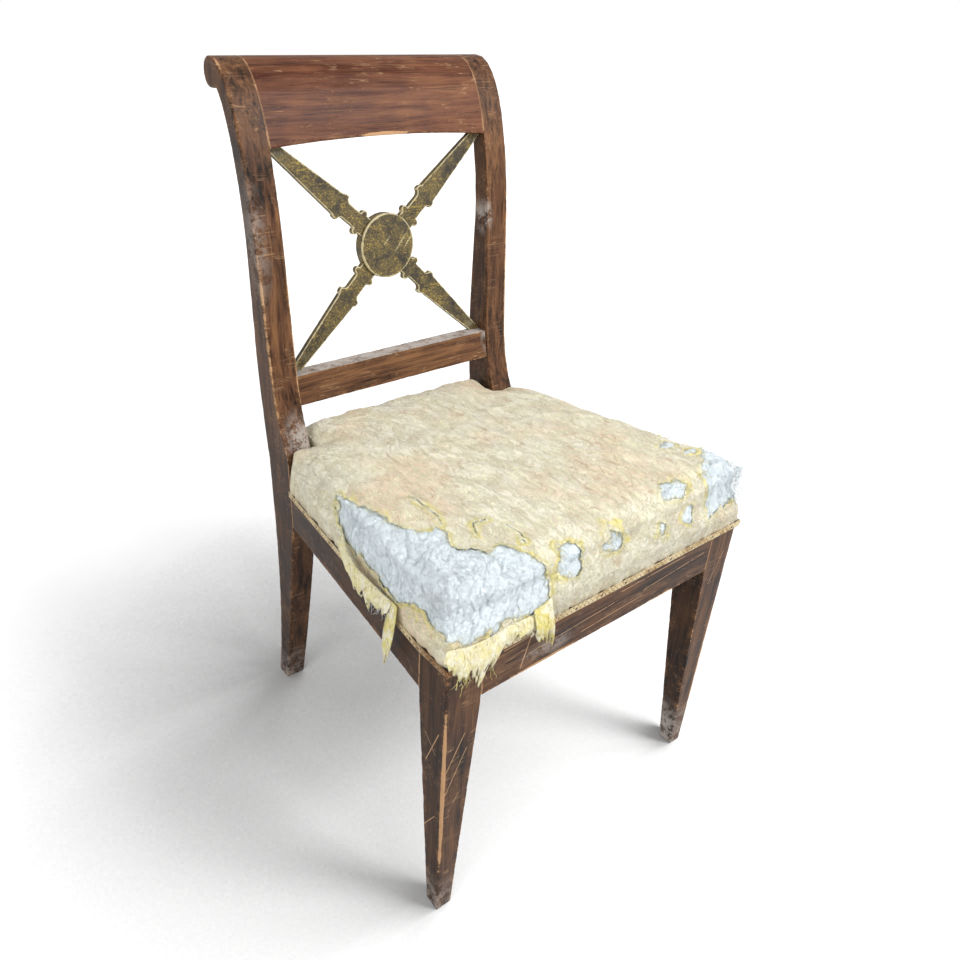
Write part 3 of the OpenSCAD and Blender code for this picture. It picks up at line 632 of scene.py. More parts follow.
class CHAIR_OT_frame_wood(bpy.types.Operator):
    """Legs, stiles and rails in worn, stained wood"""
    bl_idname = "chair.frame_wood"
    bl_label = "Wooden frame"

    def execute(self, context):
        wood = context.scene.chair_wood
        near = -HALF_FRONT
        marks = [((near + 0.004, FRONT, 0.205), (near + 0.030, FRONT, 0.262), 0.6 * MM),
                 ((near + 0.002, FRONT, 0.236), (near + 0.026, FRONT, 0.285), 0.7 * MM),
                 ((near + 0.008, FRONT, 0.170), (near + 0.022, FRONT, 0.196), 0.5 * MM),
                 ((near, FRONT + 0.010, 0.290), (near, FRONT + 0.030, 0.235), 0.7 * MM),
                 ((near, FRONT + 0.032, 0.275), (near, FRONT + 0.014, 0.255), 0.6 * MM),
                 ((near, FRONT + 0.012, 0.160), (near, FRONT + 0.034, 0.120), 0.6 * MM),
                 ((HALF_FRONT - 0.030, FRONT, 0.30), (HALF_FRONT - 0.012, FRONT, 0.345), 0.5 * MM)]
        worn = [((near, FRONT, 0.20), (0.007, 0.007, 0.23), 0.95),
                ((HALF_FRONT, FRONT, 0.16), (0.009, 0.009, 0.20), 0.9),
                ((-STILE_IN, 0.17, 0.55), (0.005, 0.08, 0.3), 0.7),
                ((-STILE_OUT, 0.15, 0.60), (0.006, 0.08, 0.35), 0.62),
                ((STILE_OUT, 0.15, 0.60), (0.007, 0.09, 0.35), 0.7),
                ((-STILE_OUT + 0.01, 0.21, CHAIR_TOP), (0.03, 0.05, 0.03), 0.85)]
        upright_dust_and_highlight = [((HALF_FRONT - 0.02, FRONT + 0.02, 0.02), (0.05, 0.05, 0.075), 0.9),
                 ((-STILE_IN - 0.01, 0.13, 0.45), (0.03, 0.05, 0.05), 0.8),
                 ((STILE_IN, 0.165, 0.69), (0.012, 0.05, 0.03), 0.8),
                 ((-0.18, 0.15, 0.02), (0.05, 0.09, 0.06), 0.6),
                 # A painted highlight on the left stile's upper front, in the dust colour
                 ((-0.195, 0.16, 0.70), (0.026, 0.05, 0.10), 0.35)]
        upright = stained_wood("stained_wood_upright", "z", wood, marks, worn, upright_dust_and_highlight)
        rail_marks = [((-0.155, FRONT, 0.372), (-0.060, FRONT, 0.376), 0.8 * MM),
                      ((-0.120, FRONT, 0.350), (0.010, FRONT, 0.357), 0.6 * MM),
                      ((0.020, FRONT, 0.368), (0.130, FRONT, 0.371), 0.7 * MM),
                      ((-0.040, FRONT, 0.340), (0.060, FRONT, 0.345), 0.6 * MM),
                      ((0.060, FRONT, 0.352), (0.170, FRONT, 0.360), 0.6 * MM),
                      ((-0.130, FRONT, 0.335), (-0.118, FRONT, 0.375), 1.0 * MM),
                      ((-0.090, 0.205, 0.870), (-0.045, 0.190, 0.845), 0.6 * MM)]
        rail_worn = [((-0.10, FRONT, RAIL_LOW), (0.10, 0.012, 0.008), 0.8),
                     ((0.09, FRONT, RAIL_LOW), (0.09, 0.012, 0.006), 0.65),
                     ((0.0, 0.19, 0.804), (0.06, 0.05, 0.011), 1.1),
                     ((0.05, 0.23, CHAIR_TOP), (0.14, 0.04, 0.012), 0.7)]
        rail_dust = [((STILE_IN, 0.16, 0.52), (0.012, 0.04, 0.03), 0.9),
                     ((-0.09, FRONT, 0.345), (0.05, 0.012, 0.016), 0.5)]
        across = stained_wood("stained_wood_across", "x", wood, rail_marks, rail_worn, rail_dust)
        deep = stained_wood("stained_wood_deep", "y", wood)
        crest = stained_wood("stained_wood_crest", "x", wood, rail_marks, rail_worn, rail_dust, 0.2)
        for seed, node in enumerate(FRAME_WOOD):
            material = upright if "leg" in node else deep if "side" in node else across
            material = crest if node == "crest_rail" else material
            others = neighbour_trees(node, FRAME_WOOD)
            worn_wood(node, others, material, wood, wood.arris, seed)
        return {"FINISHED"}


# The splat

# The disc's front face, in millimetres before its middle, and how far it leans back per height
DISC_FRONT = -8.3
DISC_LEAN = 0.17


def bronze_paint(name, splat, disc=False):
    """Bronze paint gone dull on wood, with gold flecks, a painted highlight along the edges, and dust."""
    f = Finish(name)
    patches = f.noise(f.place, 55, 5, 0.65, 0.6)
    fine = f.noise(f.moved(turn=(0, 0.6, 0), scale=(0.6, 1, 1)), 640, 3, 0.7)
    shade = patches * 0.6 + fine * 0.4
    body = f.ramp(shade, (0.38, splat.dark), (0.52, splat.bronze), (0.66, linear("6a5b33")))
    streaks = f.noise(f.moved(turn=(0, 0.7, 0), scale=(0.12, 1, 1)), 190, 3, 0.6, 0.5)
    flecks = fine.step(0.55, 0.6) * patches.step(0.4, 0.56)
    gold = (flecks * 0.8).most(streaks.step(0.6, 0.66) * fine.step(0.42, 0.52) * 0.7)
    # Painted highlight: a pale, patchy rim along the splat's edges
    near = 1 - f.attribute("to_arris").step(0.0, 0.16)
    rim_highlight = (near * 0.8 + f.noise(f.place, 130, 3) - 0.86).step(0.0, 0.25)
    body = f.mix(gold * 0.85, body, splat.gold[:])
    body = f.mix(rim_highlight * 0.8, body, splat.rim_highlight[:])
    marks = 0.0
    if disc:
        for x1, z1, x2, z2, wide in ((-10, -30, 34, 18, 0.9), (27, -3, 38, 10, 0.8), (-6, 3, 13, 21, 0.7)):
            start = DISC + Vector((x1, DISC_FRONT + z1 * DISC_LEAN, z1)) * MM
            end = DISC + Vector((x2, DISC_FRONT + z2 * DISC_LEAN, z2)) * MM
            marks = f.scratch(start, end, wide * 1.6 * MM).most(marks)
    body = f.mix(marks * fine.step(0.38, 0.5) * 0.7, body, splat.rim_highlight[:])
    centre = f.vector_math("DISTANCE", f.place, tuple(DISC), "Value")
    dust = centre.step(0.17, 0.22) * f.noise(f.place, 70, 3).step(0.45, 0.62)
    body = f.mix(dust * 0.55, body, linear("a39d90"))
    return f.surface({
        "Base Color": body,
        "Metallic": gold * 0.5,
        "Roughness": 0.46 + patches * 0.2,
        "Normal": f.bump(fine * 0.5 + patches * 0.5 - rim_highlight * 0.3, 0.4 * MM, 0.8),
    })


class CHAIR_OT_splat(bpy.types.Operator):
    """Disc and four spears in old bronze paint"""
    bl_idname = "chair.splat"
    bl_label = "Splat"

    def execute(self, context):
        splat, wood = context.scene.chair_splat, context.scene.chair_wood
        spears = bronze_paint("bronze_paint_spears", splat)
        disc = bronze_paint("bronze_paint_disc", splat, True)
        for seed, node in enumerate(SPEARS + ("splat_disc",)):
            material = disc if node == "splat_disc" else spears
            others = neighbour_trees(node, SPEARS + ("splat_disc", "crest_rail", "lower_back_rail"))
            worn_wood(node, others, material, wood, splat.arris, seed + 10)
        return {"FINISHED"}


# The seat

GAP = 1.2 * MM
PAD_LOW = GIMP_TOP - 3.5 * MM
PAD_EDGE = RAIL_TOP + 53 * MM
ROLL = 37 * MM
FRAMES = 20


def smooth_step(value, start, end):
    share = min(1.0, max(0.0, (value - start) / (end - start)))
    return share * share * (3 - 2 * share)


def mirrored(points):
    """Points of the right half of an outline, then those of the left half."""
    return points + [(-x, y) for x, y in reversed(points)]


def mesh_after(work):
    """The object's mesh after its modifiers. The object goes."""
    depsgraph = bpy.context.evaluated_depsgraph_get()
    mesh = bpy.data.meshes.new_from_object(work.evaluated_get(depsgraph))
    bpy.data.objects.remove(work)
    return mesh


def pad_block():
    """The pad before it is filled out: its plan drawn up, with a rounded top edge."""
    out = GAP + 0.4 * MM
    plan = mirrored([
        (HALF_FRONT + out, FRONT - out), (HALF_FRONT + out, LEG_BEND),
        (side_face(BLOCK_Y) + out, BLOCK_Y - GAP), (STILE_IN - GAP, BLOCK_Y - GAP),
        (STILE_IN - GAP, REAR_FACE + out)])
    bm = bmesh.new()
    base = bm.faces.new([bm.verts.new((x, y, PAD_LOW)) for x, y in plan])
    top = bmesh.ops.extrude_face_region(bm, geom=[base])["geom"]
    top = [v for v in top if isinstance(v, bmesh.types.BMVert)]
    bmesh.ops.translate(bm, verts=top, vec=(0, 0, PAD_EDGE - PAD_LOW))
    bmesh.ops.recalc_face_normals(bm, faces=bm.faces)
    corners = [e for e in bm.edges if abs(e.verts[0].co.z - e.verts[1].co.z) > ROLL
               and e.calc_face_angle(0) > 0.5 and not at_notch(e.verts[0].co)]
    bmesh.ops.bevel(bm, geom=corners, offset=5 * MM, segments=3, clamp_overlap=True, **BEVEL)
    rim_highlight = [e for e in bm.edges if min(v.co.z for v in e.verts) > PAD_EDGE - MM
           and e.calc_face_angle(0) > 0.5 and not all(beside_stile(v.co) for v in e.verts)]
    bmesh.ops.bevel(bm, geom=rim_highlight, offset=ROLL, segments=6, clamp_overlap=True, **BEVEL)
    return bm


def beside_stile(point, gap=2 * GAP):
    return abs(point.x) > STILE_IN - gap and point.y > BLOCK_Y - gap


def at_notch(point):
    return abs(abs(point.x) - STILE_IN) < 5 * MM and abs(point.y - BLOCK_Y) < 5 * MM


def pad_form(seat):
    """The pad's outer form: even squares, filled out by its stuffing, crowned, and clear of the stiles."""
    work = new_object("form", taken(pad_block(), "form"))
    squares = work.modifiers.new("squares", "REMESH")
    squares.mode = "VOXEL"
    squares.voxel_size = seat.voxel
    form = new_object("form", mesh_after(work))
    start = [v.co.copy() for v in form.data.vertices]
    held = form.vertex_groups.new(name="held")
    held.add([i for i, p in enumerate(start) if p.z < RAIL_TOP + 3 * MM], 1, "REPLACE")
    cloth = form.modifiers.new("cloth", "CLOTH")
    cloth.settings.vertex_group_mass = "held"
    cloth.settings.effector_weights.gravity = 0
    cloth.settings.use_pressure = True
    cloth.settings.uniform_pressure_force = seat.pressure
    cloth.settings.quality = 5
    cloth.collision_settings.use_collision = False
    cloth.point_cache.frame_start, cloth.point_cache.frame_end = 1, FRAMES
    for step in range(FRAMES):
        bpy.context.scene.frame_set(step + 1)
    mesh = mesh_after(form)
    bpy.context.scene.frame_set(1)
    bm = bmesh.new()
    bm.from_mesh(mesh)
    for vert, before in zip(bm.verts, start):
        move = vert.co - before
        if move.length > seat.cap:
            move *= seat.cap / move.length
        vert.co = settled_point(before + move)
    return bm


def nearness(p, x, y, reach, power):
    """1 over a point of the plan, falling to 0 at its reach."""
    return max(0.0, 1 - math.hypot(p.x - x, p.y - y) / reach) ** power


def settled_point(p):
    """A point of the pad after the crown is added, the worn corners sink and the stiles are cleared."""
    depth = 1 - ((p.y + 0.04) / 0.24) ** 2
    width = 1 - (p.x / 0.235) ** 2
    rise = smooth_step(p.z, RAIL_TOP + 20 * MM, PAD_EDGE) * max(0.0, depth) * max(0.0, width)
    side = 1 if p.x > 0 else -1
    rear_x = side * side_face(BLOCK_Y)
    pull = nearness(p, rear_x, BLOCK_Y, 48 * MM, 1.5)
    pull *= smooth_step(p.z, RAIL_TOP - 4 * MM, RAIL_TOP + 34 * MM)
    slope = nearness(p, rear_x, BLOCK_Y, 110 * MM, 1.3) * smooth_step(p.z, RAIL_TOP + 10 * MM, PAD_EDGE)
    made = p + Vector((side * 2 * pull, 0, 9 * rise + 3 * pull - 11 * slope)) * MM
    left = nearness(p, -HALF_FRONT, FRONT, 85 * MM, 1.6)
    left *= smooth_step(p.z, RAIL_TOP + 2 * MM, PAD_EDGE - 14 * MM)
    right = nearness(p, HALF_FRONT, FRONT, 70 * MM, 1.5)
    right *= smooth_step(p.z, RAIL_TOP + 2 * MM, PAD_EDGE - 20 * MM)
    made += Vector((17 * left - 11 * right, 17 * left + 11 * right, -8 * left)) * MM
    firm = smooth_step(p.x, 0.06, 0.2) * (1 - smooth_step(p.y, -0.2, 0.06))
    firm *= smooth_step(p.z, RAIL_TOP + 8 * MM, PAD_EDGE)
    made += Vector((3 * firm, 0, 6 * firm)) * MM
    if beside_stile(made, GAP):
        if abs(made.x) - STILE_IN < made.y - BLOCK_Y:
            made.x = side * (STILE_IN - GAP)
        else:
            made.y = BLOCK_Y - GAP
    return made


# Tears: outlines in plan, lower edges on the walls, and holes as middles and radii

TEAR = [(-0.300, -0.006), (-0.200, -0.010), (-0.196, -0.056), (-0.190, -0.091), (-0.191, -0.112),
        (-0.183, -0.144), (-0.162, -0.150), (-0.164, -0.171), (-0.168, -0.189), (-0.163, -0.199),
        (-0.150, -0.202), (-0.150, -0.218), (-0.137, -0.210), (-0.128, -0.213), (-0.118, -0.227),
        (-0.105, -0.239), (-0.100, -0.252), (-0.100, -0.300), (-0.300, -0.300)]
CORNER = [(0.163, -0.300), (0.158, -0.245), (0.160, -0.232), (0.172, -0.221), (0.190, -0.214),
          (0.204, -0.198), (0.300, -0.186), (0.300, -0.300)]
LEFT_FOOT = [(-0.250, 0.411), (-0.200, 0.417), (-0.165, 0.412), (-0.110, 0.415), (-0.055, 0.413),
             (-0.038, 0.421), (-0.015, 0.428), (0.000, 0.440)]
FRONT_FOOT = [(-0.220, 0.411), (-0.190, 0.406), (-0.166, 0.412), (-0.131, 0.408), (-0.109, 0.404),
              (-0.100, 0.412), (0.150, 0.412), (0.180, 0.417), (0.230, 0.420)]
HOLES = [((-0.068, -0.245, 0.441), (0.019, 0.024, 0.017)), ((-0.004, -0.243, 0.440), (0.016, 0.022, 0.013)),
         ((0.077, -0.251, 0.430), (0.007, 0.020, 0.011)), ((0.112, -0.232, 0.455), (0.020, 0.012, 0.016)),
         ((0.122, -0.250, 0.432), (0.009, 0.020, 0.010)), ((0.176, -0.172, 0.466), (0.010, 0.008, 0.020)),
         ((0.190, -0.197, 0.464), (0.012, 0.006, 0.020)), ((0.213, -0.162, 0.452), (0.010, 0.020, 0.010)),
         ((0.214, -0.126, 0.452), (0.006, 0.013, 0.007))]
SLITS = [[(-0.152, -0.089), (-0.148, -0.114), (-0.150, -0.136), (-0.155, -0.148)],
         [(-0.102, -0.189), (-0.100, -0.208), (-0.106, -0.220)],
         [(-0.137, -0.183), (-0.129, -0.167), (-0.114, -0.170)]]
PATCH = (-0.126, -0.150)


def from_segment(x, y, start, end):
    """Distance of a point from a straight line between two points."""
    (ax, ay), (bx, by) = start, end
    dx, dy = bx - ax, by - ay
    share = min(1.0, max(0.0, ((x - ax) * dx + (y - ay) * dy) / (dx * dx + dy * dy)))
    return math.hypot(x - ax - share * dx, y - ay - share * dy)


def from_polygon(x, y, corners):
    """Distance of a point from an outline, below zero inside it."""
    best, inside = 9.0, False
    for i, (ax, ay) in enumerate(corners):
        bx, by = corners[i - 1]
        best = min(best, from_segment(x, y, (ax, ay), (bx, by)))
        if (ay > y) != (by > y) and x < (bx - ax) * (y - ay) / (by - ay) + ax:
            inside = not inside
    return -best if inside else best


def between(value, points):
    """A height read off a line through points."""
    if value <= points[0][0]:
        return points[0][1]
    for (a, at_a), (b, at_b) in zip(points, points[1:]):
        if value <= b:
            return at_a + (at_b - at_a) * (value - a) / (b - a)
    return points[-1][1]


# Sizes in millimetres and scales of the tears' tatters
TATTERS = ((6.5, 62), (3.4, 190), (0.9, 420))


def ragged(point):
    """How far the tears wander off their outlines at a point."""
    return sum(size * MM * noise.noise(point * scale) for size, scale in TATTERS)


def cut_depth(p):
    """How far a point of the cover lies outside every tear, below zero where the cover is gone."""
    wild = Vector((p.x, p.y, p.z * 1.3))
    edge = ragged(wild)
    on_left = p.x < -0.200 and p.y > FRONT + 12 * MM
    foot = between(p.y, LEFT_FOOT) if on_left else between(p.x, FRONT_FOOT)
    above = foot - p.z
    depth = max(from_polygon(p.x, p.y, TEAR), above)
    depth = min(depth, max(from_polygon(p.x, p.y, CORNER), above))
    for middle, radii in HOLES:
        q = Vector([(p[i] - middle[i]) / radii[i] for i in range(3)])
        if q.length < 3:
            depth = min(depth, (q.length - 1) * min(radii[0], radii[2]))
    depth += edge
    for slit in SLITS:
        if abs(p.x - slit[0][0]) < 0.06 and p.z > RAIL_TOP + 40 * MM:
            for start, end in zip(slit, slit[1:]):
                depth = min(depth, from_segment(p.x, p.y, start, end) - 1.1 * MM)
    return depth


def creased(p, normal, seat):
    """Height of the cover's creases, flakes and pulled threads at a point."""
    along = 0.5 * p.x - 0.85 * p.y
    across = 0.85 * p.x + 0.5 * p.y
    folds = noise.noise(Vector((across * 46, along * 13, 3.0)))
    puckers = noise.noise(Vector((across * 120, along * 34, 8.0)))
    flat = max(0.0, normal.z)
    bend = 0.05 * noise.noise(Vector((p.x * 9, p.y * 9, 5.0)))
    drawn = noise.noise(Vector(((across + bend) * 30, along * 7, 21.0)))
    where = noise.noise(Vector((p.x * 11, p.y * 11, 2.0)))
    drawn = max(0.0, 1 - abs(drawn) / 0.13) ** 2 * smooth_step(where, -0.2, 0.2)
    height = seat.crease * flat * (0.9 * max(-0.3, folds) + 0.35 * puckers + 0.6 * drawn)
    upright = 1 - smooth_step(p.z, RAIL_TOP + 30 * MM, RAIL_TOP + 56 * MM)
    pulled = noise.noise(Vector(((p.x + p.y) * 95, (p.x - p.y) * 95, p.z * 16)))
    height += 0.8 * seat.crease * upright * (1 - 0.6 * flat) * pulled
    lift = max(0.0, 1 - math.hypot(p.x - PATCH[0], p.y - PATCH[1]) / (34 * MM))
    return height + seat.crease * 0.9 * lift * abs(noise.noise(p * 70)) * flat


# Pieces of cover with fewer faces than this are loose scraps
LOOSE_SCRAP = 2500


def split_at_tears(bm, depth_layer):
    """Splits the mesh along the tears' edges and removes what lies inside them."""
    crossing, places = [], {}
    for edge in bm.edges:
        a, b = (v[depth_layer] for v in edge.verts)
        if (a < 0) != (b < 0):
            crossing.append(edge)
            places[edge] = min(0.94, max(0.06, a / (a - b)))
    made = bmesh.ops.subdivide_edges(bm, edges=crossing, cuts=1, edge_percents=places)
    for vert in made["geom_inner"]:
        if isinstance(vert, bmesh.types.BMVert):
            vert[depth_layer] = 0
    bmesh.ops.triangulate(bm, faces=[f for f in bm.faces if len(f.verts) > 3])
    gone = [f for f in bm.faces if sum(v[depth_layer] for v in f.verts) < 0]
    bmesh.ops.delete(bm, geom=gone, context="FACES")
    whole, seen = set(), set()
    for start in bm.faces:
        if start in seen:
            continue
        island, front = [], [start]
        seen.add(start)
        while front:
            face = front.pop()
            island.append(face)
            for edge in face.edges:
                for other in edge.link_faces:
                    if other not in seen:
                        seen.add(other)
                        front.append(other)
        if len(island) > LOOSE_SCRAP:
            whole.update(island)
    bmesh.ops.delete(bm, geom=[f for f in bm.faces if f not in whole], context="FACES")


def subdivided(mesh, name):
    work = new_object(name, mesh)
    finer = work.modifiers.new("finer", "SUBSURF")
    finer.levels = finer.render_levels = 1
    return mesh_after(work)


def push_out(bm, height):
    """Moves each point along its normal by the height that its place gives."""
    bm.normal_update()
    moves = [vert.normal * height(vert.co) for vert in bm.verts]
    for vert, move in zip(bm.verts, moves):
        vert.co += move


def woven_cover(seat):
    """Old silk cover: pale ground, duller leaves, fine yarns, stains, and yellow where it has frayed."""
    f = Finish("worn_silk_cover")
    cream, tan, blush, yellow = seat.cream[:], seat.tan[:], seat.blush[:], seat.yellow[:]
    warp = f.node("TexNoise", inputs={"Vector": f.place, "Scale": 16.0, "Detail": 3.0}, output="Color")
    bent = f.vector_math("ADD", f.place, f.vector_math("MULTIPLY", warp, (0.07, 0.07, 0.07)))
    leaves = f.noise(bent, 40, 4, 0.6, 0.6)
    body = f.mix(leaves.step(0.49, 0.55) * 0.55, cream, tan)
    stains = f.noise(f.place, 6.5, 3, 0.55)
    body = f.mix(stains.step(0.46, 0.64) * 0.7, body, blush)
    slant = f.moved(turn=(0, 0, -1.04), scale=(1.0, 0.42, 1.0))
    swirls = f.noise(slant, 64, 5, 0.66, 1.6)
    lines = 1 - abs(swirls - 0.5).step(0.0, 0.035)
    small = f.noise(slant, 150, 4, 0.7, 1.4)
    threads = 1 - abs(small - 0.5).step(0.0, 0.05)
    where = f.noise(f.place, 17, 3, 0.6).step(0.36, 0.62)
    body = f.mix((lines * 0.9 + threads * where * 0.75).least(0.92), body, linear("faf6cf"))
    dull = (1 - swirls.step(0.36, 0.42)) * 0.5 + (1 - small.step(0.3, 0.38)) * 0.4
    body = f.mix(dull, body, linear("a48d69"))
    specks = f.noise(f.place, 200, 1, 0.5)
    body = f.mix(specks.step(0.8, 0.83) * 0.7, body, linear("4d3a28"))
    fray = 1 - f.attribute("to_edge")
    ragged_line = f.noise(f.place, 80, 4, 0.65)
    some = f.noise(f.place, 21, 2, 0.5).step(0.42, 0.58)
    torn = (fray * 1.2 + ragged_line - 1.25).step(0.0, 0.3) * (0.25 + some * 0.75)
    body = f.mix(torn * 0.85, body, yellow)
    hem = (fray - 0.8).step(0.0, 0.16) * ragged_line.step(0.42, 0.55)
    body = f.mix(hem * 0.75, body, linear("f1edd6"))
    # Darker towards the cover's lower edge, above the gimp
    low_band_darkening = (1 - f.axis(f.place, "Z").step(0.386, 0.400)) * 0.35
    body = f.mix(low_band_darkening, body, linear("b39a72"))
    yarn = {"Vector": f.place, "Scale": 330.0, "Distortion": 1.0}
    warp_yarn, weft_yarn = (f.node("TexWave", {"bands_direction": way}, yarn) for way in "XY")
    weave = warp_yarn.most(weft_yarn)
    ridge = weave * 0.06 + lines * 0.35 + swirls * 1.2 + small * 0.5 + threads * 0.15
    return f.surface({
        "Base Color": body,
        "Roughness": 0.62 + stains * 0.25,
        "Normal": f.bump(ridge, 1.7 * MM, 1.0),
        "Sheen Weight": 0.15,
        "Specular IOR Level": 0.3,
    })


def cotton(seat):
    """Matted cotton wadding with fibres, fluff, and painted shade that greys its hollows."""
    f = Finish("cotton_wadding")
    white, shade = seat.wadding[:], seat.shade[:]
    clumps = f.noise(f.place, 58, 6, 0.72, 1.4)
    warp = f.node("TexNoise", inputs={"Vector": f.place, "Scale": 60.0, "Detail": 2.0}, output="Color")
    bent = f.vector_math("ADD", f.place, f.vector_math("MULTIPLY", warp, (0.03, 0.03, 0.03)))
    fibres = f.noise(bent, 270, 4, 0.7, 2.6)
    lines = 1 - abs(fibres - 0.5).step(0.0, 0.035)
    # Painted shade: the shade colour in the hollows between clumps, and greys in the lows of the fibres and
    # fluff
    body = f.mix(clumps.step(0.28, 0.5), shade, white)
    body = f.mix(lines * 0.7, body, linear("f6fdff"))
    fluff = f.noise(f.place, 520, 4, 0.75, 1.0)
    body = f.mix((1 - fibres.step(0.34, 0.46)) * 0.5, body, linear("cbd8e0"))
    body = f.mix((1 - fluff.step(0.36, 0.5)) * 0.4, body, linear("d0dce3"))
    dirt = f.noise(f.place, 13, 4, 0.6).step(0.58, 0.74)
    body = f.mix(dirt * 0.35, body, linear("a9a5a0"))
    ridge = clumps * 0.6 + lines * 0.7 + fibres * 0.9 + fluff * 0.4
    return f.surface({
        "Base Color": body,
        "Roughness": 0.95,
        "Normal": f.bump(ridge, 0.7 * MM, 0.8),
        "Specular IOR Level": 0.2,
        "Sheen Weight": 0.2,
    })


def hair_pad(trim):
    f = Finish("fibre_stuffing")
    hair = f.noise(f.place, 260, 4, 0.7, 3.0)
    body = f.ramp(hair, (0.35, linear("2a1d13")), (0.6, trim.fibre), (0.75, linear("8a6d4b")))
    return f.surface({"Base Color": body, "Roughness": 0.9, "Normal": f.bump(hair, 1.0 * MM)})


class CHAIR_OT_seat(bpy.types.Operator):
    """The stuffed pad in three layers: fibre, white wadding and the torn cover"""
    bl_idname = "chair.seat"
    bl_label = "Seat pad and cover"

    def execute(self, context):
        seat, trim = context.scene.chair_seat, context.scene.chair_trim
        form = taken(pad_form(seat), "form")
        self.cover(form.copy(), seat)
        self.wadding(form.copy(), seat)
        self.stuffing(form, trim)
        return {"FINISHED"}

    def cover(self, form, seat):
        bm = bmesh.new()
        bm.from_mesh(subdivided(form, "cover"))
        under = [f for f in bm.faces
                 if all(v.co.z < PAD_LOW + 1.2 * MM for v in f.verts) or f.normal.z < -0.7]
        bmesh.ops.delete(bm, geom=under, context="FACES")
        bmesh.ops.triangulate(bm, faces=bm.faces)
        depth = layer(bm, "depth")
        for vert in bm.verts:
            vert[depth] = cut_depth(vert.co)
        split_at_tears(bm, depth)
        bm.normal_update()
        to_edge = layer(bm, "to_edge")
        moves = []
        for vert in bm.verts:
            near = max(0.0, 1 - vert[depth] / (7 * MM))
            curl = near ** 2 * (0.6 + 1.6 * noise.noise(vert.co * 90)) * 1.3 * MM
            height = creased(vert.co, vert.normal, seat) + max(-0.3 * MM, curl)
            moves.append(vert.normal * height)
            vert[to_edge] = min(1.0, max(0.0, vert[depth] / (20 * MM)))
        for vert, move in zip(bm.verts, moves):
            vert.co += move
            if beside_stile(vert.co, GAP):
                vert.co -= move
        piece = finished(bm, "torn_cover", woven_cover(seat))
        thicken(piece, seat.cloth)
        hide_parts("seat_cover")

    def wadding(self, form, seat):
        def swell(p):
            bare = 1 - smooth_step(cut_depth(p), -4 * MM, 2 * MM)
            lumps = noise.noise(p * 26) * 2.6 + noise.noise(p * 75) * 1.9 + noise.noise(p * 170) * 1.2
            drawn = abs(noise.noise(Vector(((p.x - p.y) * 62, (p.x + p.y) * 24, p.z * 40))))
            lumps -= 2.2 * max(0.0, 1 - drawn / 0.12)
            return -1.6 * MM + bare * (2.4 + lumps) * MM

        bm = bmesh.new()
        bm.from_mesh(subdivided(form, "wadding"))
        push_out(bm, swell)
        for vert in bm.verts:
            inside = abs(vert.co.x) < side_face(vert.co.y) - 8 * MM and FRONT + 8 * MM < vert.co.y < 0.164
            vert.co.z = max(vert.co.z, (RAIL_TOP + 5.4 * MM) if inside else RAIL_TOP + 0.6 * MM)
        piece = finished(bm, "matted_wadding", cotton(seat))
        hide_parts("seat_wadding")

    def stuffing(self, form, trim):
        bm = bmesh.new()
        bm.from_mesh(form)
        push_out(bm, lambda p: (noise.noise(p * 60) * 1.2 - 9) * MM)
        for vert in bm.verts:
            vert.co.z = max(vert.co.z, RAIL_TOP + 7 * MM)
        piece = finished(bm, "fibre_stuffing", hair_pad(trim))
        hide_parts("seat_stuffing")


# Shreds, threads and fluff

def strands(name, lines, radius, material):
    """Thin yarns along lists of points, as one piece."""
    curve = bpy.data.curves.new(name, "CURVE")
    curve.dimensions = "3D"
    curve.bevel_depth = radius
    curve.bevel_resolution = 0
    curve.use_fill_caps = True
    for line in lines:
        spline = curve.splines.new("POLY")
        spline.points.add(len(line) - 1)
        for i, point in enumerate(line):
            spline.points[i].co = (*point, 1)
            spline.points[i].radius = 1 - 0.55 * i / (len(line) - 1)
    mesh = mesh_after(new_object(name, curve))
    bm = bmesh.new()
    bm.from_mesh(mesh)
    bmesh.ops.recalc_face_normals(bm, faces=bm.faces)
    return finished(bm, name, material)


def random_turn(rng):
    return Vector((rng.gauss(0, 1), rng.gauss(0, 1), rng.gauss(0, 1)))


def wandering(start, way, reach, droop, rng, points=5):
    """A loose yarn from start that heads off in a direction, wanders and hangs."""
    line, here = [start.copy()], start.copy()
    heading = way.normalized()
    for _ in range(points):
        heading = (heading + random_turn(rng) * 0.42 + Vector((0, 0, -droop))).normalized()
        here = here + heading * reach / points
        line.append(here)
    return line


def torn_silk(name, seat, ground, amount):
    f = Finish(name)
    lines = f.noise(f.moved(scale=(1, 1, 0.3)), 260, 4, 0.75, 1.4)
    patches = f.noise(f.place, 95, 4, 0.7)
    body = f.mix(patches.step(0.44, 0.56) * amount, ground, seat.yellow[:])
    body = f.mix(f.noise(f.place, 45, 4, 0.65).step(0.5, 0.6) * 0.85, body, linear("ece7d2"))
    body = f.mix(lines.step(0.53, 0.62) * 0.7, body, linear("f7f3d8"))
    body = f.mix((1 - lines.step(0.36, 0.46)) * 0.6, body, linear("96824c"))
    return f.surface({
        "Base Color": body, "Roughness": 0.8, "Normal": f.bump(lines + patches * 0.8, 1.6 * MM, 1.0),
        "Sheen Weight": 0.15, "Specular IOR Level": 0.25})


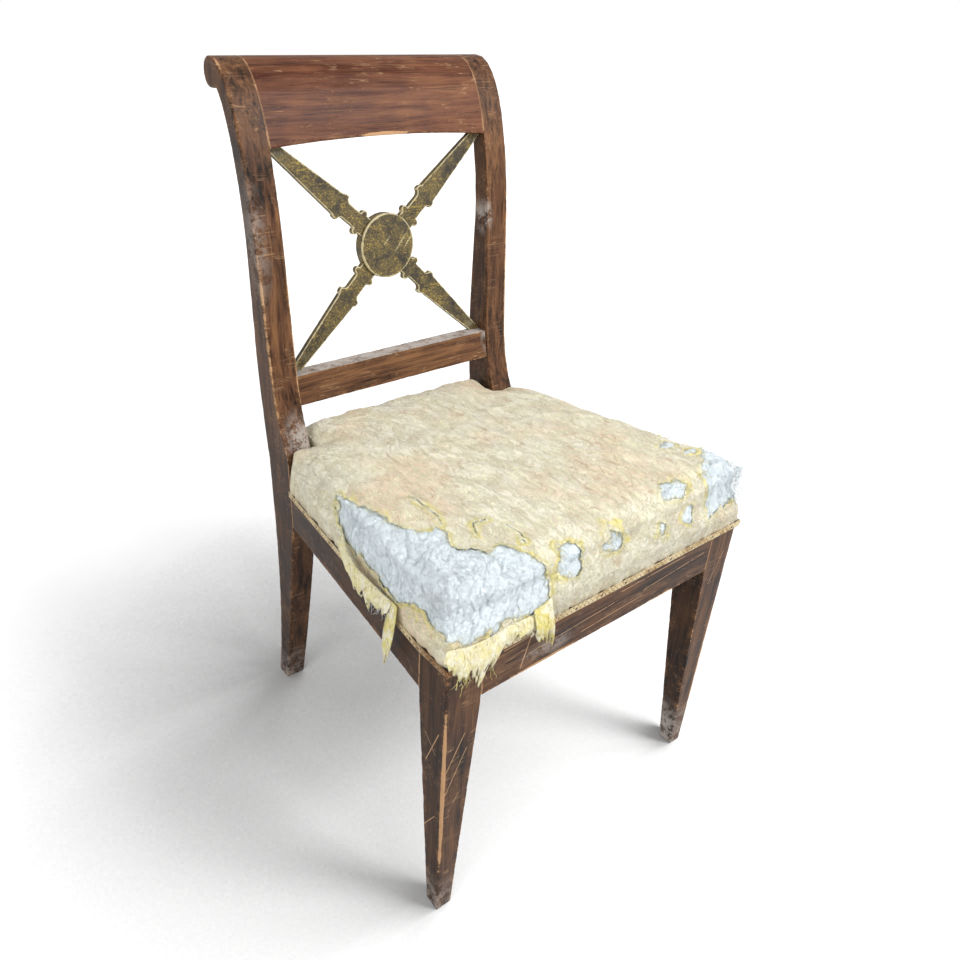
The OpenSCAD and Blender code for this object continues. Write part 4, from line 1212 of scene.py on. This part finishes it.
def flap(name, top, low_edge, bow, material, seed, rows, belly, step=1.6 * MM):
    """A ragged strip of cover between a line where it holds on and its free lower edge."""
    length_along = sum((Vector(b) - Vector(a)).length for a, b in zip(top, top[1:]))
    columns = max(4, int(length_along / step))
    bm = bmesh.new()
    bmesh.ops.create_grid(bm, x_segments=columns, y_segments=rows, size=0.5)
    shift = Vector((seed * 5.1, seed * 2.3, 0))
    fall = {v: 0.5 - v.co.y for v in bm.verts}
    for vert in bm.verts:
        along, down = vert.co.x + 0.5, 0.5 - vert.co.y
        a, b = on_line(top, along), on_line(low_edge, along)
        tatter = noise.noise(Vector((along * length_along * 110, 0, 0)) + shift)
        tatter += 0.7 * noise.noise(Vector((along * length_along * 330, 0, 9)) + shift)
        frayed = 1 + 0.45 * tatter * down
        point = a.lerp(b, down * frayed)
        middle = on_line(top, 0.5).lerp(on_line(low_edge, 0.5), down * frayed)
        point += (point - middle) * belly * math.sin(math.pi * down)
        out = Vector((point.x, point.y + 0.02, 0)).normalized()
        wave = 4.2 * noise.noise(Vector((along * length_along * 70, down * 1.6, 0)) + shift)
        wave += 1.3 * noise.noise(Vector((along * length_along * 210, down * 5, 4)) + shift)
        vert.co = point + out * (math.sin(down * math.pi) * bow + wave * MM * (0.25 + down))
    gone = []
    for face in bm.faces:
        middle = face.calc_center_median()
        share_down = max(fall[v] for v in face.verts)
        wear = noise.noise(middle * 120 + shift) + 0.6 * noise.noise(middle * 300 + shift)
        if share_down > 0.75 and wear > 1.0 - 0.8 * share_down:
            gone.append(face)
    bmesh.ops.delete(bm, geom=gone, context="FACES")
    bmesh.ops.recalc_face_normals(bm, faces=bm.faces)
    piece = finished(bm, name, material)
    thicken(piece, 0.7 * MM)
    return piece


def on_line(line, share):
    """A point at a share of the way along a line of points, counted by its points."""
    place = share * (len(line) - 1)
    i = min(len(line) - 2, int(place))
    return Vector(line[i]).lerp(Vector(line[i + 1]), place - i)


class CHAIR_OT_shreds(bpy.types.Operator):
    """Hanging shreds of cover, frayed yarns along the tears and loose fluff"""
    bl_idname = "chair.shreds"
    bl_label = "Shreds and fluff"

    def execute(self, context):
        seat = context.scene.chair_seat
        cover = bpy.data.objects["torn_cover"]
        pale = torn_silk("torn_silk_pale", seat, linear("e4dcb8"), 0.45)
        bright = torn_silk("torn_silk_bright", seat, linear("d9cd86"), 0.9)
        face = FRONT - 4.5 * MM
        side = -HALF_FRONT - 3.5 * MM
        # Name, line where it holds on, free lower edge, outward bow and material
        shapes = [
            ("front_shred", [(-0.229, face + 0.006, 0.409), (-0.205, face, 0.408), (-0.180, face, 0.406),
                             (-0.155, face, 0.410), (-0.128, face, 0.407), (-0.108, face, 0.405)],
             [(-0.233, face + 0.004, 0.398), (-0.213, face - 0.004, 0.371), (-0.194, face - 0.005, 0.368),
              (-0.168, face - 0.004, 0.387), (-0.146, face - 0.003, 0.390), (-0.118, face - 0.003, 0.385)],
             0.004, pale),
            ("bright_shred", [(-0.124, face, 0.412), (-0.112, face, 0.414), (-0.100, face, 0.418)],
             [(-0.124, face - 0.006, 0.377), (-0.110, face - 0.008, 0.364), (-0.097, face - 0.004, 0.360)],
             0.007, bright),
            ("left_shred", [(side + 0.014, -0.050, 0.424), (side + 0.006, -0.072, 0.415),
                            (side, -0.100, 0.412), (side, -0.130, 0.411), (side, -0.168, 0.410)],
             [(side + 0.008, -0.056, 0.412), (side, -0.080, 0.396), (side - 0.003, -0.106, 0.386),
              (side - 0.003, -0.134, 0.384), (side - 0.002, -0.160, 0.390)], 0.005, pale),
            ("hanging_shred", [(side, -0.176, 0.410), (side, -0.166, 0.411)],
             [(side - 0.004, -0.163, 0.326), (side - 0.003, -0.156, 0.324)], 0.006, bright)]
        pieces = []
        for seed, (name, top, edge, bow, material) in enumerate(shapes):
            rows, belly = (34, 1.1) if name == "hanging_shred" else (13, 0.0)
            piece = flap(name, top, edge, bow, material, seed + 1, rows, belly)
            pieces.append(piece)
        pieces += self.yarns(cover, seat, bright)
        return {"FINISHED"}

    def yarns(self, cover, seat, bright):
        """Yarns frayed from the tears' rims, and white fluff where the wadding comes through."""
        rng = random.Random(7)
        bm = bmesh.new()
        bm.from_mesh(cover.data)
        bm.normal_update()
        rims = [e for e in bm.edges if len(e.link_faces) == 1 and e.verts[0].co.z > PAD_LOW + 4 * MM]
        rims.sort(key=lambda e: tuple(round(c, 5) for c in e.verts[0].co))
        yellow, white = [], []
        for edge in rims:
            if rng.random() > 0.5:
                continue
            start = edge.verts[0].co
            face = edge.link_faces[0]
            away = ((edge.verts[0].co + edge.verts[1].co) / 2 - face.calc_center_median()).normalized()
            way = away + face.normal * rng.uniform(-0.1, 0.9)
            reach = rng.uniform(3, 12) * MM
            line = wandering(start, way, reach, 0.12, rng)
            (yellow if rng.random() < 0.72 else white).append(line)
        bm.free()
        side = -HALF_FRONT - 3 * MM
        for _ in range(60):
            start = Vector((side, rng.gauss(-0.148, 0.010), rng.uniform(0.392, 0.412)))
            way = Vector((-0.3, rng.uniform(-1, 1), -1))
            white.append(wandering(start, way, rng.uniform(8, 24) * MM, 0.3, rng, 8))
        for _ in range(230):
            turn = rng.uniform(-0.2, 1.5) - 0.8
            x, y = 0.196 + 0.026 * math.cos(turn), FRONT + 0.022 + 0.02 * math.sin(turn)
            start = Vector((x, y, rng.uniform(0.412, 0.460)))
            way = Vector((1, rng.uniform(-1, 0.3), rng.uniform(-0.6, 0.7)))
            white.append(wandering(start, way, rng.uniform(10, 27) * MM, 0.05, rng, 7))
        for _ in range(40):
            start = Vector((rng.uniform(-0.222, -0.175), FRONT - 6 * MM, rng.uniform(0.366, 0.388)))
            way = Vector((rng.uniform(-0.5, 0.5), -0.3, -1))
            yellow.append(wandering(start, way, rng.uniform(6, 17) * MM, 0.3, rng))
        white += self.fibres(rng)
        fluff = strands("white_fluff", white, 0.26 * MM, cotton(seat))
        yarn = strands("frayed_yarns", yellow, 0.28 * MM, bright)
        return [fluff, yarn]

    def fibres(self, rng):
        """Fibres that lie on the bare wadding."""
        mesh = bpy.data.objects["matted_wadding"].data
        tree = mesh_tree(mesh)
        bare = [v for v in mesh.vertices if v.co.z > RAIL_TOP + 6 * MM and cut_depth(v.co) < -1 * MM]
        lines = []
        for _ in range(1000):
            here, line = rng.choice(bare).co.copy(), []
            heading = random_turn(rng)
            reach = rng.uniform(8, 26) * MM
            for _ in range(7):
                near, normal, _, _ = tree.find_nearest(here)
                if cut_depth(near) > 0:
                    break
                line.append(near + normal * rng.uniform(0.0, 0.7) * MM)
                heading += random_turn(rng) * 0.45
                heading = (heading - normal * heading.dot(normal)).normalized()
                here = near + heading * reach / 6
            if len(line) > 2:
                lines.append(line)
        return lines


class CHAIR_OT_trim(bpy.types.Operator):
    """Gimp braid and its pins"""
    bl_idname = "chair.trim"
    bl_label = "Gimp braid"

    def execute(self, context):
        trim = context.scene.chair_trim
        f = Finish("gimp_braid")
        wear = f.noise(f.place, 60, 4, 0.65)
        body = f.ramp(wear, (0.34, trim.gimp_dark), (0.52, trim.gimp), (0.7, linear("dccdaa")))
        corner = f.vector_math("DISTANCE", f.place, (-HALF_FRONT, FRONT, GIMP_LOW), "Value")
        body = f.mix((1 - corner.step(0.02, 0.07)) * 0.7, body, linear("7a4a22"))
        material = f.surface({"Base Color": body, "Roughness": 0.8, "Normal": f.bump(wear, 0.5 * MM)})
        middle = (GIMP_LOW + GIMP_TOP) / 2
        out = 3.0 * MM
        side = HALF_FRONT + out
        rear = side_face(BLOCK_Y) + out
        round_front = mirrored([(rear, BLOCK_Y - MM), (side, LEG_BEND), (side, FRONT - out)])
        behind = [(-STILE_IN + MM, REAR_FACE + out), (STILE_IN - MM, REAR_FACE + out)]
        lines = []
        for path in (round_front, behind):
            for strand in range(3):
                lines.append(self.plait(path, middle, trim.pitch, strand))
            for rise in (-3.4 * MM, 3.4 * MM):
                lines.append([Vector((x, y, middle + rise)) for x, y in path])
        piece = strands("plaited_gimp", lines, 0.95 * MM, material)
        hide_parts("gimp_braid")
        dress("gimp_pins", dull_metal("gimp_pin_steel", trim))
        return {"FINISHED"}

    def plait(self, path, middle, pitch, strand):
        """One strand of a three-strand plait along a path in plan."""
        line = []
        phase = strand * 2 * math.pi / 3
        for (ax, ay), (bx, by) in zip(path, path[1:]):
            a, b = Vector((ax, ay, middle)), Vector((bx, by, middle))
            steps = int((b - a).length / (pitch / 5))
            normal = Vector((by - ay, ax - bx, 0)).normalized()
            for i in range(steps):
                turn = phase + i / 5 * 2 * math.pi
                offset = Vector((0, 0, 2.3 * MM * math.sin(turn / 2)))
                line.append(a.lerp(b, i / steps) + offset + normal * 0.45 * MM * math.cos(turn))
        return line


def dull_metal(name, trim):
    f = Finish(name)
    rust = f.noise(f.place, 420, 3, 0.6).step(0.45, 0.65)
    body = f.mix(rust, trim.steel[:], trim.rust[:])
    return f.surface({"Base Color": body, "Metallic": 0.9 - rust * 0.8, "Roughness": 0.4 + rust * 0.4})


def dress(node, material):
    """Gives a node of the frame its material."""
    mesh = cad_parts[node].data
    mesh.materials.clear()
    mesh.materials.append(material)


def woven_jute(name, trim, pitch):
    """Plain jute weave whose yarns lie a pitch apart."""
    f = Finish(name)
    yarn = {"Vector": f.place, "Scale": 0.31416 / pitch, "Distortion": 1.2, "Detail Scale": 3.0}
    warp, weft = (f.node("TexWave", {"bands_direction": way}, yarn) for way in "XY")
    weave = warp * weft
    patches = f.noise(f.place, 30, 4, 0.6)
    shade = weave * 0.6 + patches * 0.4
    body = f.ramp(shade, (0.15, linear("4d3c26")), (0.4, trim.jute), (0.75, linear("b9a27a")))
    return f.surface({"Base Color": body, "Roughness": 0.9, "Normal": f.bump(weave, 0.6 * MM, 0.8)})


class CHAIR_OT_underside(bpy.types.Operator):
    """Webbing, tacks, base cloth, corner blocks and their screws"""
    bl_idname = "chair.underside"
    bl_label = "Underside"

    def execute(self, context):
        trim, wood = context.scene.chair_trim, context.scene.chair_wood
        jute = woven_jute("jute_webbing", trim, 2.0 * MM)
        for node in ("webbing_lengthwise", "webbing_crosswise"):
            dress(node, jute)
        dress("webbing_tacks", dull_metal("tack_steel", trim))
        dress("corner_screws", dull_metal("screw_steel", trim))
        self.hessian(trim)
        f = Finish("plain_block_wood")
        grain = f.noise(f.moved(turn=(0, 0, 0.785), scale=(0.08, 1, 1)), 160, 5, 0.6, 0.6)
        ring = f.noise(f.place, 24, 3, 0.6)
        shade = grain * 0.6 + ring * 0.4
        body = f.ramp(shade, (0.36, linear("4a3320")), (0.5, trim.block), (0.66, linear("a07c55")))
        glue = (1 - f.attribute("to_joint").step(0.0, 0.2)) * ring.step(0.4, 0.6)
        body = f.mix(glue * 0.6, body, linear("3b2413"))
        relief = f.bump(grain, 0.4 * MM, 0.7)
        material = f.surface({"Base Color": body, "Roughness": 0.75, "Normal": relief})
        blocks = [f"corner_block_{end}_{side}" for end in ("front", "rear") for side in SIDES]
        for seed, node in enumerate(blocks):
            others = neighbour_trees(node, FRAME_WOOD)
            worn_wood(node, others, material, wood, 0.8 * MM, seed + 20)
        return {"FINISHED"}

    def hessian(self, trim):
        """The base cloth, cut into squares that sag a little."""
        lo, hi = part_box("base_cloth")
        square = 12 * MM
        bm = bmesh.new()
        bm.from_mesh(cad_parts["base_cloth"].data)
        bmesh.ops.remove_doubles(bm, verts=bm.verts, dist=0.01 * MM)
        bmesh.ops.delete(bm, geom=[f for f in bm.faces if f.normal.z < 0.5], context="FACES")
        bmesh.ops.dissolve_limit(bm, angle_limit=0.05, verts=bm.verts, edges=bm.edges)
        for axis, normal in enumerate((Vector((1, 0, 0)), Vector((0, 1, 0)))):
            cut = lo[axis] + square
            while cut < hi[axis]:
                parts = bm.verts[:] + bm.edges[:] + bm.faces[:]
                bmesh.ops.bisect_plane(bm, geom=parts, plane_co=normal * cut, plane_no=normal)
                cut += square
        for vert in bm.verts:
            vert.co.z = (lo.z + hi.z) / 2 + 0.25 * MM * noise.noise(vert.co * 30)
        piece = finished(bm, "hessian_base", woven_jute("hessian", trim, 1.6 * MM))
        thicken(piece, 0.6 * MM)
        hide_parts("base_cloth")


class CHAIR_PT_pieces(bpy.types.Panel):
    """Pieces of the chair, each made by its own button"""
    bl_idname = "CHAIR_PT_pieces"
    bl_label = "Worn side chair"
    bl_space_type = "VIEW_3D"
    bl_region_type = "UI"
    bl_category = "Chair"

    def draw(self, context):
        for name in ("stage", "frame_wood", "splat", "seat", "shreds", "trim", "underside"):
            self.layout.operator("chair." + name)
        for group in GROUPS:
            settings = getattr(context.scene, group)
            box = self.layout.box()
            for key in settings.bl_rna.properties.keys():
                if key not in ("rna_type", "name"):
                    box.prop(settings, key)


GROUPS = {"chair_wood": ChairWood, "chair_splat": ChairSplat, "chair_seat": ChairSeat,
          "chair_trim": ChairTrim, "chair_stage": ChairStage}
CLASSES = (
    *GROUPS.values(), CHAIR_OT_stage, CHAIR_OT_frame_wood, CHAIR_OT_splat, CHAIR_OT_seat,
    CHAIR_OT_shreds, CHAIR_OT_trim, CHAIR_OT_underside, CHAIR_PT_pieces)


def register():
    for cls in CLASSES:
        bpy.utils.register_class(cls)
    for name, group in GROUPS.items():
        setattr(bpy.types.Scene, name, bpy.props.PointerProperty(type=group))


def unregister():
    for name in GROUPS:
        delattr(bpy.types.Scene, name)
    for cls in reversed(CLASSES):
        bpy.utils.unregister_class(cls)


def main():
    register()
    bpy.ops.chair.stage()
    bpy.ops.chair.frame_wood()
    bpy.ops.chair.splat()
    bpy.ops.chair.seat()
    bpy.ops.chair.shreds()
    bpy.ops.chair.trim()
    bpy.ops.chair.underside()


if __name__ == "__main__":
    main()
